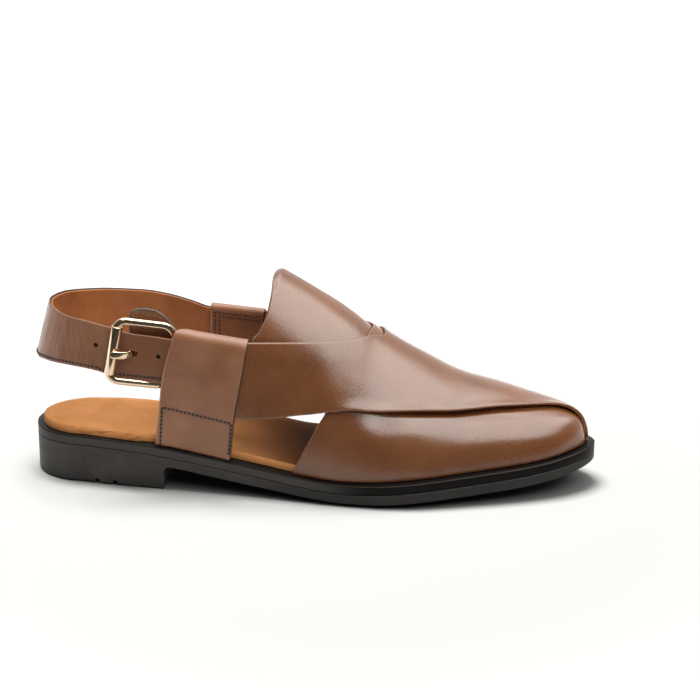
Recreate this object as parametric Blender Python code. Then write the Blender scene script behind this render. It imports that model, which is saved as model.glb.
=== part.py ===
"""Peshawari chappal, right shoe: two broad leather panels cross over the instep and are held by a
folded leather ear on each side; a sling strap with a roller buckle on the outer side closes the heel.

Lengths in the tables are millimetres. In the tables x runs from the back of the heel to the toe.
In the finished part +X is toward the toe, +Y toward the inner side of the foot, +Z up, and the
origin is the middle of the heel's flat bottom face.
"""
import bpy
import bmesh
import math
import numpy as np

for old in list(bpy.data.objects):
    bpy.data.objects.remove(old, do_unlink=True)

MM = 0.001
HEEL_TO_ORIGIN = 38.0      # from the back of the heel to the origin
LENGTH = 300.0             # over the sole
BREAST = 75.0              # front face of the heel
CLEAR = 0.3                # clearance between neighbouring pieces
WELT = 4.7                 # thickness of the welt layer
INSOLE = 4.4               # thickness of the wrapped insole
UNDER = (0.0, 1.8)         # depth range of the lower crossing panel above the last
OVER = (0.8, 3.4)          # depth range of the upper crossing panel
TONGUE = (-2.2, -0.35)     # depth range of the tongue, below the panels
EAR_SKIN = 1.7             # outer layer of an ear
EAR_INNER = 1.5            # turned-in layer of an ear
STRAP = 2.4                # sling strap, leather and lining
PAD = 1.5                  # leather tab behind the buckle
WIRE = 1.5                 # radius of the buckle's wire
ROLLER = (1.9, 2.65)       # bore and outer radius of the roller
TIP = 293.2                # tip of the last

# ---------------------------------------------------------------- tables
# x, outer half width, inner half width of the sole, both measured from the centre line
OUTLINE = [(30, 28.5, 28.6), (40, 30.4, 30.4), (55, 32.6, 31.0), (70, 34.3, 29.6), (84, 35.9, 27.4), (100, 37.6, 26.2),
           (115, 39.4, 26.8), (130, 41.6, 29.6), (145, 44.4, 34.0), (160, 47.0, 39.2), (175, 49.0, 44.0), (190, 49.8, 47.8),
           (205, 48.7, 49.6), (220, 45.3, 48.7), (235, 40.7, 45.6), (250, 35.7, 41.2), (264, 30.4, 36.3), (278, 23.8, 29.8)]
# x, top of the welt, bottom edge of the sole, bottom of the sole, width of the bottom bevel
HEIGHTS = [(75.4, 22.4, 10.2, 10.0, 3.0), (77.5, 22.2, 12.2, 11.9, 3.0), (84, 21.3, 11.6, 11.1, 3.5), (95, 19.8, 9.9, 9.1, 4.0),
           (106, 18.2, 8.2, 7.2, 4.5), (116, 16.9, 6.8, 5.6, 5.0), (127, 15.4, 5.4, 4.0, 5.0), (138, 14.0, 4.1, 2.5, 5.5),
           (149, 12.7, 2.9, 1.2, 6.0), (157, 11.9, 2.1, 0.4, 6.0), (164, 11.4, 1.6, 0.0, 6.0), (175, 11.2, 1.3, 0.0, 6.0),
           (186, 11.5, 1.4, 0.0, 6.0), (196, 12.1, 1.8, 0.0, 6.0), (204, 12.8, 2.4, 0.3, 6.0), (214, 13.6, 3.2, 1.4, 6.0),
           (228, 14.8, 4.4, 2.8, 5.5), (242, 15.9, 5.5, 4.1, 5.0), (256, 17.0, 6.6, 5.4, 4.5), (270, 18.3, 8.1, 7.0, 4.0),
           (283, 19.9, 9.9, 9.0, 3.5), (293, 21.1, 11.8, 11.1, 3.0), (300, 21.7, 13.4, 12.9, 2.0)]
# x, top of the welt over the heel
RIM = [(0, 25.3), (20, 25.3), (40, 24.9), (55, 24.2), (65, 23.5), (75.4, 22.4)]
# x, outer half girth, inner half girth, tuck of the inner side at its foot, offset of the crest, power of the section
GIRTH = [(60, 28.4, 31.0, 3.0, 0.0, 4.0), (75, 28.6, 29.5, 4.6, 0.0, 4.0), (90, 29.9, 29.3, 6.6, 0.5, 3.7), (105, 31.6, 30.0, 7.4, 2.0, 3.0),
         (120, 33.8, 31.4, 7.2, 3.5, 2.45), (138, 37.2, 34.0, 5.6, 4.5, 2.1), (154, 40.0, 37.0, 3.8, 4.5, 2.0), (170, 42.2, 39.6, 1.8, 4.5, 2.0),
         (186, 42.8, 41.8, 0.6, 4.5, 2.0), (200, 41.8, 43.0, 0.0, 4.5, 2.0), (215, 39.0, 42.6, 0.0, 4.5, 2.05), (230, 34.8, 40.2, 0.0, 4.5, 2.1),
         (245, 30.0, 36.4, 0.0, 4.5, 2.2), (260, 24.8, 31.6, 0.0, 4.2, 2.3), (272, 19.8, 26.8, 0.0, 4.0, 2.4), (281, 14.4, 21.6, 0.0, 3.8, 2.4),
         (287, 8.8, 16.0, 0.0, 3.6, 2.4), (TIP, -3.5, 3.5, 0.0, 3.5, 2.4)]
# x, height of the crest of the last
CREST = [(60, 140.0), (75, 134.0), (90, 129.2), (105, 124.2), (120, 118.6), (133, 112.0), (143, 106.5), (154, 100.0), (164, 93.9),
         (175, 85.8), (182, 79.8), (190, 73.8), (206, 64.6), (228, 53.6), (249, 47.9), (270, 41.7), (281, 38.6), (286.4, 36.5),
         (290.2, 33.6), (292.3, 28.8), (TIP, 22.2)]
# edges of the panels: x, girth fraction (0 outer foot, 0.5 crest, 1 inner foot)
OVER_REAR = [(103, 0.150), (121, 0.193), (132, 0.223), (147, 0.260), (161, 0.297), (171, 0.338), (180, 0.405), (186.5, 0.480),
             (185.5, 0.550), (181.5, 0.630), (176.5, 0.720), (173, 0.780), (168.5, 0.835), (162.5, 0.910), (156, 1.0)]
OVER_FRONT = [(99, 0.034), (115, 0.058), (122, 0.070), (138.5, 0.100), (159, 0.133), (179, 0.170), (199, 0.205), (214, 0.232),
              (229, 0.263), (239, 0.286), (249, 0.314), (257, 0.341), (265, 0.378), (275, 0.437), (282, 0.476), (287, 0.487),
              (290.6, 0.49), (292.1, 0.49), (293.0, 0.50), (293.195, 1.0)]
UNDER_REAR = [(103, 0.850), (121, 0.806), (132, 0.775), (150, 0.735), (165, 0.685), (175.5, 0.633), (180.5, 0.560), (181, 0.500),
              (179.5, 0.420), (174, 0.330), (168, 0.230), (161, 0.133), (157.5, 0.105), (154, 0.075), (149, 0.037), (144, 0.0)]
UNDER_FRONT = [(99, 0.966), (115, 0.940), (122, 0.930), (138, 0.900), (158, 0.866), (176, 0.820), (196, 0.740), (216, 0.660),
               (236, 0.600), (256, 0.570), (272, 0.560), (284, 0.560), (288, 0.560), (291.0, 0.56), (292.3, 0.56), (293.0, 0.56),
               (293.195, 0.0)]
# tongue: girth fraction, x of the free rear edge, x of the hidden front edge
TONGUE_EDGE = [(0.130, 122.0, 150.0), (0.195, 123.2, 166.0), (0.230, 125.2, 174.0), (0.285, 128.6, 184.0), (0.370, 130.8, 192.0),
               (0.450, 131.6, 196.0), (0.500, 132.4, 197.0), (0.550, 131.6, 196.0), (0.630, 130.8, 192.0), (0.715, 128.6, 184.0),
               (0.770, 125.2, 174.0), (0.805, 123.2, 166.0), (0.870, 122.0, 150.0)]
# ears: height, x of the rear edge, x of the front edge
EAR_OUTER = [(18, 69.5, 111.0), (40, 72.4, 113.4), (60, 74.9, 117.2), (79, 80.1, 120.4), (88, 83.4, 121.8)]
EAR_INNER_SIDE = [(18, 84.0, 112.0), (40, 87.0, 114.0), (60, 90.0, 117.6), (79, 91.0, 120.6), (88, 91.2, 122.0)]
EAR_TOP = ((83.4, 87.6, 121.6, 82.8), (91.2, 85.6, 121.8, 83.0))   # outer, inner: rear x, z, front x, z
RELIEF = 87.5              # the outer ear's turned-in layer starts here
EAR_STITCH = 43.0          # the two layers of an ear lie together below this height
EAR_OFFSET = ((3.3, 4.8), (2.4, 3.1))   # outer face above the last at the rear and at the front
# sling strap, outer face: x y z of the top edge, x y z of the bottom edge
SLING = [(76.0, -29.7, 81.6, 73.0, -29.9, 57.8), (68.5, -30.2, 82.6, 65.5, -30.4, 58.6), (61.5, -31.0, 83.6, 58.5, -31.2, 59.4),
         (55.5, -31.9, 85.0, 52.3, -32.1, 60.2), (49.8, -31.9, 86.8, 46.4, -32.1, 61.6), (43.0, -30.9, 88.2, 40.6, -31.4, 63.0),
         (33.0, -28.9, 90.0, 31.0, -30.2, 64.4), (25.0, -25.7, 90.8, 20.0, -27.0, 65.0), (17.8, -20.4, 92.0, 11.0, -21.6, 65.0),
         (12.1, -12.6, 93.1, 4.4, -13.2, 64.2), (9.3, 0.0, 93.6, 1.0, 0.0, 63.1), (12.1, 12.6, 93.1, 4.4, 13.2, 63.5),
         (17.8, 20.4, 92.3, 11.0, 21.6, 64.0), (25.0, 25.9, 91.5, 20.0, 27.2, 64.5), (33.0, 28.9, 91.1, 31.0, 30.4, 64.6),
         (43.0, 30.5, 90.6, 41.0, 31.4, 64.4), (55.0, 31.3, 90.0, 53.0, 32.0, 63.6), (68.0, 31.5, 88.0, 65.0, 32.0, 62.0),
         (80.0, 30.8, 85.0, 77.0, 31.0, 60.0)]
SLING_TIP = [(98.0, 78.6, 95.0, 54.8), (91.0, 79.6, 88.0, 55.8), (85.5, 80.4, 82.5, 56.6)]       # outer ear: x, z top, x, z bottom
SLING_END = [(90.0, 82.6, 87.0, 57.8), (94.5, 81.9, 91.5, 57.2), (98.6, 81.2, 95.6, 56.6)]     # inner ear
SLING_HOLES = [(40.6, 77.2, 1.1, 1.1), (59.2, 74.5, 2.9, 1.7), (73.2, 71.6, 1.1, 1.1)]                           # x, z, half length, half height
# tab behind the buckle: x, z top, z bottom, y of its outer face
TAB = [(57.5, 90.5, 64.0, -26.3), (58.3, 94.0, 61.5, -26.0), (61.5, 95.6, 60.2, -24.9), (66.0, 95.6, 59.8, -24.5), (71.0, 94.8, 59.4, -23.8),
       (76.0, 91.6, 59.0, -23.4), (79.5, 87.2, 58.6, -23.4), (82.0, 83.6, 58.2, -24.2), (84.3, 81.2, 57.8, -25.8)]
# buckle: centre of the roller bar, centre of the covered bar
BAR_A = (49.2, -34.9, 76.6)
BAR_B = (78.0, -25.7, 71.0)
BUCKLE_HALF = 17.0         # half height of the frame, on the wire's centre line
BUCKLE_CORNER = 3.9
NOTCHES = (38.1, 48.2)     # x of the two grip notches on each side of the heel


# ---------------------------------------------------------------- helpers
def spline(rows, warp=None):
    """Monotone interpolation of a table's columns over its first column."""
    a = np.array(rows, float)
    t = warp(a[:, 0]) if warp else a[:, 0]
    h = np.diff(t)

    def column(y):
        d = np.diff(y) / h
        m = np.zeros(len(t))
        for i in range(1, len(t) - 1):
            if d[i - 1] * d[i] > 0:
                w1, w2 = 2 * h[i] + h[i - 1], h[i] + 2 * h[i - 1]
                m[i] = (w1 + w2) / (w1 / d[i - 1] + w2 / d[i])
        m[0], m[-1] = d[0], d[-1]

        def at(x):
            x = np.asarray(x, float)
            x = np.clip(warp(x) if warp else x, t[0], t[-1])
            k = np.clip(np.searchsorted(t, x) - 1, 0, len(t) - 2)
            s = (x - t[k]) / h[k]
            return ((1 + 2 * s) * (1 - s) ** 2 * y[k] + s * (1 - s) ** 2 * h[k] * m[k]
                    + s * s * (3 - 2 * s) * y[k + 1] + s * s * (s - 1) * h[k] * m[k + 1])
        return at
    return [column(a[:, k]) for k in range(1, a.shape[1])]


def nose(x):
    """Opens up the table near the toe, where the sections close like a square root."""
    return -np.sqrt(np.maximum(TIP - np.asarray(x, float), 0.0))


def smooth(a, b, x):
    s = np.clip((np.asarray(x, float) - a) / (b - a), 0, 1)
    return s * s * (3 - 2 * s)


half_out, half_in = spline(OUTLINE)
welt_f, edge_f, bottom_f, bevel_f = spline(HEIGHTS)
rim_f, = spline(RIM)
girth_out, girth_in, tuck_f, middle_f, power_f = spline(GIRTH, nose)
crest_f, = spline(CREST, nose)


def welt_top(x):
    return float(rim_f(x)) if x < 75.4 else float(welt_f(x))


def sole_half(x, side, inset=0.0):
    """Half width of the sole's outline on one side (-1 outer, +1 inner), moved in by inset."""
    tip = LENGTH - inset
    if x < 30.0:
        a, b = 30.0 - inset, (28.5 if side < 0 else 28.6) - inset
        return b * math.sqrt(max(0.0, 1 - ((30.0 - x) / a) ** 2))
    if x > 278.0:
        w = (27.8 if side < 0 else 25.8) - inset
        return w * math.sqrt(max(0.0, (tip - x) / (tip - 278.0))) + (-4.0 if side < 0 else 4.0)
    return float((half_out if side < 0 else half_in)(x)) - inset


def foot_z(x):
    """Height at which the upper stands on the welt; it leads a little at the toe, where the welt climbs."""
    return welt_top(x + 4.2 * float(smooth(268, 290, x))) + CLEAR


def last(x, v):
    """Point of the last at station x and girth fraction v."""
    x, v = np.broadcast_arrays(np.asarray(x, float), np.asarray(v, float))
    c, n = middle_f(x), power_f(x)
    foot = np.vectorize(foot_z)(x)
    h = np.maximum(crest_f(x) - foot, 0.05)
    co, si = np.cos(np.pi * v), np.abs(np.sin(np.pi * v))
    z = foot + h * si ** (2 / n)
    wide = np.where(co > 0, np.maximum(girth_out(x) + c, 0.02), np.maximum(girth_in(x) - c, 0.02))
    y = c - np.sign(co) * wide * np.abs(co) ** (2 / n)
    y = y - np.where(co < 0, tuck_f(x) * np.exp(-(z - foot) / 12.0), 0.0)
    return np.stack([x, y, z], -1)


def station(u):
    return TIP - (TIP - 60.0) * (1 - np.asarray(u, float)) ** 2


def unstation(x):
    return 1 - np.sqrt(np.clip((TIP - np.asarray(x, float)) / (TIP - 60.0), 0, 1))


def skin(x, v, off):
    """Point lifted off the last along its normal, level at the foot so that it stands on the welt."""
    x = np.minimum(np.asarray(x, float), TIP - 1e-3)
    v = np.asarray(v, float)
    u, w, e = unstation(x), np.clip(v, 0.004, 0.996), 1e-3
    a = last(station(np.minimum(u + e, 1 - 1e-4)), w) - last(station(u - e), w)
    b = last(x, w + e) - last(x, w - e)
    n = np.cross(a, b)
    level = np.minimum(smooth(0.0, 0.07, v), smooth(0.0, 0.07, 1 - v))
    n[..., 2] *= level
    n /= np.linalg.norm(n, axis=-1, keepdims=True) + 1e-12
    return last(x, v) + n * off


def side_y(x, z, side):
    """Distance of the last's side from the centre plane at station x and height z."""
    foot = welt_top(x) + CLEAR
    h = float(crest_f(x)) - foot
    n, c = float(power_f(x)), float(middle_f(x))
    s = min(max((z - foot) / h, 0.0), 1.0)
    k = (1 - s ** n) ** (1 / n)
    if side < 0:
        return (float(girth_out(x)) + c) * k - c
    return (float(girth_in(x)) - c) * k + c - float(tuck_f(x)) * math.exp(-max(z - foot, 0.0) / 12.0)


def edge(rows, count):
    """Even steps along an edge drawn on the last."""
    a = np.array(rows, float)
    p = last(a[:, 0], a[:, 1])
    s = np.concatenate([[0], np.cumsum(np.linalg.norm(np.diff(p, axis=0), axis=1))])
    fu, fv = spline(np.column_stack([s / s[-1], unstation(a[:, 0]), a[:, 1]]))
    t = np.linspace(0, 1, count)
    return np.stack([fu(t), fv(t)], -1)


def to_world(p):
    p = np.asarray(p, float)
    return (p - np.array([HEEL_TO_ORIGIN, 0, 0])) * MM


def collection(name, hidden=False):
    c = bpy.data.collections.new(name)
    bpy.context.scene.collection.children.link(c)
    c.hide_render = hidden
    return c


SHOE = collection("peshawari_chappal")
CUTTERS = collection("cutters", True)


def material(name, colour, rough, metal=0.0):
    m = bpy.data.materials.new(name)
    m.use_nodes = True
    b = m.node_tree.nodes["Principled BSDF"]
    b.inputs["Base Color"].default_value = (*colour, 1)
    b.inputs["Roughness"].default_value = rough
    b.inputs["Metallic"].default_value = metal
    m.diffuse_color = (*colour, 1)
    return m


def add_mesh(name, points, faces, mat=None, cutter=False):
    bm = bmesh.new()
    verts = [bm.verts.new(tuple(p)) for p in to_world(points)]
    for f in faces:
        bm.faces.new([verts[i] for i in f])
    bmesh.ops.remove_doubles(bm, verts=bm.verts, dist=2e-6)
    bmesh.ops.recalc_face_normals(bm, faces=bm.faces)
    mesh = bpy.data.meshes.new(name)
    bm.to_mesh(mesh)
    bm.free()
    ob = bpy.data.objects.new(name, mesh)
    (CUTTERS if cutter else SHOE).objects.link(ob)
    if mat:
        mesh.materials.append(mat)
    if cutter:
        ob.hide_render = True
        ob.display_type = "WIRE"
    return ob


def loft(rings, cap=True, closed=False):
    """Points and faces of a tube through equal rings of points."""
    n = len(rings[0])
    pts = [p for r in rings for p in r]
    faces = []
    last_ring = len(rings) if closed else len(rings) - 1
    for i in range(last_ring):
        j = (i + 1) % len(rings)
        for k in range(n):
            m = (k + 1) % n
            faces.append((i * n + k, i * n + m, j * n + m, j * n + k))
    if cap and not closed:
        faces.append(tuple(range(n)))
        faces.append(tuple((len(rings) - 1) * n + k for k in reversed(range(n))))
    return pts, faces


def plate(inner, outer):
    """Closed sheet between two grids of points."""
    inner, outer = np.asarray(inner), np.asarray(outer)
    n, m = inner.shape[:2]
    pts = np.concatenate([inner.reshape(-1, 3), outer.reshape(-1, 3)])
    top = n * m
    faces = []
    for i in range(n - 1):
        for k in range(m - 1):
            a, b, c, d = i * m + k, i * m + k + 1, (i + 1) * m + k + 1, (i + 1) * m + k
            faces += [(a, b, c, d), (top + d, top + c, top + b, top + a)]
    rim = ([i * m for i in range(n)] + [(n - 1) * m + k for k in range(1, m)]
           + [i * m + m - 1 for i in range(n - 2, -1, -1)] + [k for k in range(m - 2, 0, -1)])
    for a, b in zip(rim, rim[1:] + rim[:1]):
        faces.append((a, top + a, top + b, b))
    return pts, faces


def boolean(target, tool, operation):
    mod = target.modifiers.new(operation.lower() + "_" + tool.name, "BOOLEAN")
    mod.operation = operation
    mod.solver = "EXACT"
    mod.object = tool


LEATHER = material("leather_brown", (0.23, 0.10, 0.055), 0.38)
LINING = material("lining_tan", (0.50, 0.24, 0.11), 0.55)
RUBBER = material("sole_black", (0.02, 0.02, 0.02), 0.45)
WELT_MAT = material("welt_black", (0.012, 0.012, 0.012), 0.4)
BRASS = material("buckle_brass", (0.83, 0.66, 0.42), 0.22, 1.0)

# ---------------------------------------------------------------- sole with its heel
def slab_stations(first, final, heel=True):
    near = [first + d for d in (0.0, 0.25, 0.9, 2.0, 3.8, 6.2, 9.4, 13.5, 18.5, 24.0)]
    mid = list(np.arange(30.0, 74.0, 8.5))
    front = [82.0, 90.0, 99.0, 108.0, 118.0, 128.0, 138.0, 148.0, 157.0, 164.0, 175.0, 186.0, 196.0, 204.0, 214.0, 224.0,
             234.0, 244.0, 254.0, 263.0, 271.0]
    far = [final - d for d in (22.0, 16.5, 11.8, 7.9, 4.8, 2.5, 1.0, 0.25, 0.02)]
    return near + mid, front + far


def sole_ring(x, over_heel):
    yo, yi = sole_half(x, -1), sole_half(x, 1)
    top = welt_top(x) - WELT - CLEAR
    if over_heel:
        low, flat, bevel = 0.6, 0.0, 0.7
    else:
        low, flat, bevel = float(edge_f(x)), float(bottom_f(x)), float(bevel_f(x))
    bevel = min(bevel, 0.3 * (yo + yi))
    mid = (yi - yo) / 2
    return [(x, -yo, top), (x, -yo, low), (x, -yo + bevel, flat), (x, mid, flat), (x, yi - bevel, flat), (x, yi, low), (x, yi, top), (x, mid, top)]


rear, front = slab_stations(0.02, LENGTH)
rings = [sole_ring(x, True) for x in rear + [BREAST]] + [sole_ring(x, False) for x in [BREAST + 0.4, BREAST + 2.5] + front]
sole = add_mesh("sole", *loft(rings), RUBBER)
for k, x in enumerate(NOTCHES):
    for side in (-1, 1):
        y0, y1 = side * (sole_half(x, side) - 9.0), side * (sole_half(x, side) + 3.0)
        box = [[(x + sx * 1.15, y, z) for sx, z in ((-1, -2.0), (1, -2.0), (1, 2.3), (-1, 2.3))] for y in (y0, y1)]
        boolean(sole, add_mesh("notch_%d_%s" % (k, "outer" if side < 0 else "inner"), *loft(box), cutter=True), "DIFFERENCE")

# ---------------------------------------------------------------- welt
def welt_ring(x):
    yo, yi, top = sole_half(x, -1), sole_half(x, 1), welt_top(x)
    r = min(0.6, 0.2 * (yo + yi))
    return [(x, -yo, top - WELT), (x, yi, top - WELT), (x, yi, top - r), (x, yi - r, top), (x, -yo + r, top), (x, -yo, top - r)]


rear, front = slab_stations(0.02, LENGTH)
welt = add_mesh("welt", *loft([welt_ring(x) for x in rear + [BREAST] + front]), WELT_MAT)

# ---------------------------------------------------------------- insole, wrapped in lining leather
INSET = 2.4
INSOLE_TIP = 288.6


def insole_half(x, side):
    heel = sole_half(min(x, 80.0), side, INSET)
    g = float((girth_out if side < 0 else girth_in)(min(x + 3.0 * float(smooth(235, 280, x)), TIP)))
    if side > 0:
        g -= float(tuck_f(x))
    return heel + (g - 0.7 - heel) * float(smooth(57, 68, x))


def insole_ring(x):
    yo, yi, z = insole_half(x, -1), insole_half(x, 1), welt_top(x) + CLEAR
    k = min(1.0, (yo + yi) / 16.0)
    t = INSOLE * (0.55 + 0.45 * k)
    steps = ((0.0, 0.0), (0.0, 0.35), (0.9, 0.72), (2.6, 0.95), (5.0, 1.0))
    left = [(x, -yo + a * k, z + b * t) for a, b in steps]
    right = [(x, yi - a * k, z + b * t) for a, b in reversed(steps)]
    return left + right


rear, front = slab_stations(INSET + 0.02, INSOLE_TIP)
along = [x for x in rear + [BREAST] + front if x < 266 or x > 267]
insole = add_mesh("insole", *loft([insole_ring(x) for x in reversed(along)]), LINING)


# ---------------------------------------------------------------- the two crossing panels
def panel(name, rear_rows, front_rows, offs, along, across, cutter, ease=None):
    a, b = edge(rear_rows, along), edge(front_rows, along)
    t = np.linspace(0, 1, across)[None, :, None]
    grid = a[:, None, :] * (1 - t) + b[:, None, :] * t
    x, v = station(grid[..., 0]), grid[..., 1]
    inner, outer = skin(x, v, offs[0]), skin(x, v, offs[1])
    return add_mesh(name, *plate(inner, outer), LEATHER, cutter=cutter)


upper = panel("upper", OVER_REAR, OVER_FRONT, OVER, 34, 13, False)
under = panel("panel_under", UNDER_REAR, UNDER_FRONT, UNDER, 34, 13, True)
boolean(upper, under, "UNION")


# ---------------------------------------------------------------- folded ears
def ear_face(x, z, side):
    lines = EAR_OUTER if side < 0 else EAR_INNER_SIDE
    o = EAR_OFFSET[0] if side < 0 else EAR_OFFSET[1]
    k = min(max((x - (78.0 if side < 0 else 88.0)) / 38.0, 0.0), 1.0)
    return side_y(x, z, side) + o[0] + (o[1] - o[0]) * k


def ear_lines(side):
    return spline(EAR_OUTER if side < 0 else EAR_INNER_SIDE)


def ear_depth(side):
    """Depth of the ear from its outer face: skin, slot, turned-in layer."""
    slot = (0.5 + STRAP + 0.4 + PAD + 0.5) if side < 0 else (0.5 + STRAP + 0.5)
    return EAR_SKIN, slot, EAR_INNER


def ear_profile(t, side, slot_only=False):
    """Section of the ear along a line at fraction t between its rear and front edges."""
    rear_x, front_x = ear_lines(side)
    top = EAR_TOP[0 if side < 0 else 1]
    skin_d, slot, inner = ear_depth(side)
    full = skin_d + slot + inner

    def at(z, depth):
        x = float(rear_x(z)) + t * (float(front_x(z)) - float(rear_x(z)))
        return (x, side * (ear_face(x, min(z, top_z), side) - depth), z)

    top_z = top[1] + t * (top[3] - top[1])
    xf = float(rear_x(20)) + t * (float(front_x(20)) - float(rear_x(20)))
    foot = welt_top(xf) + CLEAR
    if slot_only:
        z0, z1 = EAR_STITCH + 1.5, top_z - EAR_SKIN - 0.4
        zs = np.linspace(z0, z1, 6)
        return [at(z, skin_d) for z in zs] + [at(z, skin_d + slot) for z in zs[::-1]]
    low = ear_face(xf, foot, side) - side_y(xf, foot, side)
    zs = [foot, foot + 7, 36.0, EAR_STITCH, 50.0, 58.0, 66.0, 74.0, top_z - 2.2]
    outer = [at(z, 0.0) for z in zs]
    cap = [at(top_z - 0.7, 0.6), at(top_z, 2.2), at(top_z, full - 2.2), at(top_z - 0.7, full - 0.6)]
    back = [at(top_z - 2.2, full), at(74.0, full), at(66.0, full), at(58.0, full), at(50.0, full), at(EAR_STITCH - 1.0, low + 0.2),
            at(36.0, low), at(foot + 7, low), at(foot, low)]
    return outer + cap + back


for side, word in ((-1, "outer"), (1, "inner")):
    steps = np.linspace(0, 1, 8)
    ear = add_mesh("ear_" + word, *loft([ear_profile(t, side) for t in steps]), LEATHER, cutter=True)
    hollow = add_mesh("ear_slot_" + word, *loft([ear_profile(t, side, True) for t in np.linspace(-0.1, 1.1, 10)]), cutter=True)
    boolean(ear, hollow, "DIFFERENCE")
    if side < 0:
        # the turned-in layer starts ahead of the buckle's covered bar
        ring = []
        for z in np.linspace(EAR_STITCH + 3.0, 92.0, 6):
            x0 = 68.0
            ring.append([(x0, -ear_face(x0, min(z, 86.0), -1) + EAR_SKIN, z), (RELIEF, -ear_face(RELIEF, min(z, 86.0), -1) + EAR_SKIN, z),
                         (RELIEF, -12.0, z), (x0, -12.0, z)])
        relief = add_mesh("ear_relief", *loft(ring), cutter=True)
        boolean(ear, relief, "DIFFERENCE")
    boolean(upper, ear, "UNION")

# ---------------------------------------------------------------- tongue
edge_rear, edge_front = spline(TONGUE_EDGE)
vs = np.linspace(TONGUE_EDGE[0][0], TONGUE_EDGE[-1][0], 23)
t = np.linspace(0, 1, 9)
x = edge_rear(vs)[:, None] * (1 - t) + edge_front(vs)[:, None] * t
v = np.repeat(vs[:, None], 9, 1)
tongue = add_mesh("tongue", *plate(skin(x, v, TONGUE[0]), skin(x, v, TONGUE[1])), LEATHER)

# ---------------------------------------------------------------- sling strap
def in_ear(rows, side, depth):
    return [(xt, side * (ear_face(xt, zt, side) - depth), zt, xb, side * (ear_face(xb, zb, side) - depth), zb) for xt, zt, xb, zb in rows]


path = np.array(in_ear(SLING_TIP, -1, EAR_SKIN + 0.5) + SLING + in_ear(SLING_END, 1, EAR_SKIN + 0.5))
s = np.concatenate([[0], np.cumsum(np.linalg.norm(np.diff(path[:, :3] + path[:, 3:], axis=0), axis=1) / 2)])
columns = spline(np.column_stack([s, path]))
s_even = np.linspace(0, s[-1], 58)
rows = np.stack([c(s_even) for c in columns], -1)
outer_edge = np.stack([rows[:, :3], (rows[:, :3] * 2 + rows[:, 3:]) / 3, (rows[:, :3] + rows[:, 3:] * 2) / 3, rows[:, 3:]], 1)
along = np.gradient(outer_edge, axis=0)
across = (outer_edge[:, 3] - outer_edge[:, 0])[:, None, :]
normal = np.cross(along, np.broadcast_to(across, along.shape))
normal /= np.linalg.norm(normal, axis=-1, keepdims=True)
centre = np.array([45.0, 0.0, 75.0])
normal *= np.sign(((centre - outer_edge) * normal).sum(-1, keepdims=True))
sling = add_mesh("heel_strap", *plate(outer_edge + normal * STRAP, outer_edge), LEATHER)
for k, (x, z, rx, rz) in enumerate(SLING_HOLES):
    seg = 12
    ring = [[(x + rx * math.cos(2 * math.pi * i / seg), y, z + rz * math.sin(2 * math.pi * i / seg)) for i in range(seg)] for y in (-38.0, -22.0)]
    boolean(sling, add_mesh("sling_hole_%d" % k, *loft(ring), cutter=True), "DIFFERENCE")

# ---------------------------------------------------------------- tab behind the buckle
tab_rows = list(TAB)
for x in (86.8, 90.0, 94.0, 98.0):
    zt, zb = 80.2 - 0.12 * (x - 85), 57.2 - 0.12 * (x - 85)
    tab_rows.append((x, zt, zb, -(ear_face(x, 70.0, -1) - EAR_SKIN - 0.5 - STRAP - 0.4)))
grid = np.array([[(x, y, zt + (zb - zt) * k / 3) for k in range(4)] for x, zt, zb, y in tab_rows])
for i, (x, zt, zb, y) in enumerate(tab_rows):
    if x > 86.0:
        for k in range(4):
            z = grid[i, k, 2]
            grid[i, k, 1] = -(ear_face(x, z, -1) - EAR_SKIN - 0.5 - STRAP - 0.4)
tab = add_mesh("buckle_tab", *plate(grid + np.array([0, PAD, 0]), grid), LEATHER)

# ---------------------------------------------------------------- buckle
A, B = np.array(BAR_A), np.array(BAR_B)
E1 = (B - A) / np.linalg.norm(B - A)
E2 = np.array([0.149, 0.0, 0.989])
E2 = E2 - (E2 @ E1) * E1
E2 /= np.linalg.norm(E2)
E3 = np.cross(E1, E2)               # away from the foot
MID = (A + B) / 2
HALF = float(np.linalg.norm(B - A)) / 2


def wire(name, points, radius, cyclic, sides=3, mat=BRASS):
    """Round wire along a line of points, as a bevelled curve."""
    curve = bpy.data.curves.new(name, "CURVE")
    curve.dimensions = "3D"
    curve.bevel_depth = radius * MM
    curve.bevel_resolution = sides
    curve.use_fill_caps = True
    sp = curve.splines.new("POLY")
    sp.points.add(len(points) - 1)
    for p, q in zip(sp.points, to_world(points)):
        p.co = (*q, 1)
    sp.use_cyclic_u = cyclic
    ob = bpy.data.objects.new(name, curve)
    SHOE.objects.link(ob)
    curve.materials.append(mat)
    return ob


corner = []
for ca, cb, start in ((1, 1, 0), (-1, 1, 90), (-1, -1, 180), (1, -1, 270)):
    for d in range(0, 91, 15):
        ang = math.radians(start + d)
        corner.append(MID + E1 * (ca * (HALF - BUCKLE_CORNER) + BUCKLE_CORNER * math.cos(ang))
                      + E2 * (cb * (BUCKLE_HALF - BUCKLE_CORNER) + BUCKLE_CORNER * math.sin(ang)))
frame = wire("buckle_frame", corner, WIRE, True)

seg = 20
ROLL_HALF = 13.2
roll = []
for r, h in ((ROLLER[0], -ROLL_HALF), (ROLLER[1], -ROLL_HALF), (ROLLER[1], ROLL_HALF), (ROLLER[0], ROLL_HALF)):
    roll.append([A + E2 * h + r * (E1 * math.cos(2 * math.pi * i / seg) + E3 * math.sin(2 * math.pi * i / seg)) for i in range(seg)])
pts, faces = loft(roll, closed=True)
roller = add_mesh("buckle_roller", pts, faces, BRASS)

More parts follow.
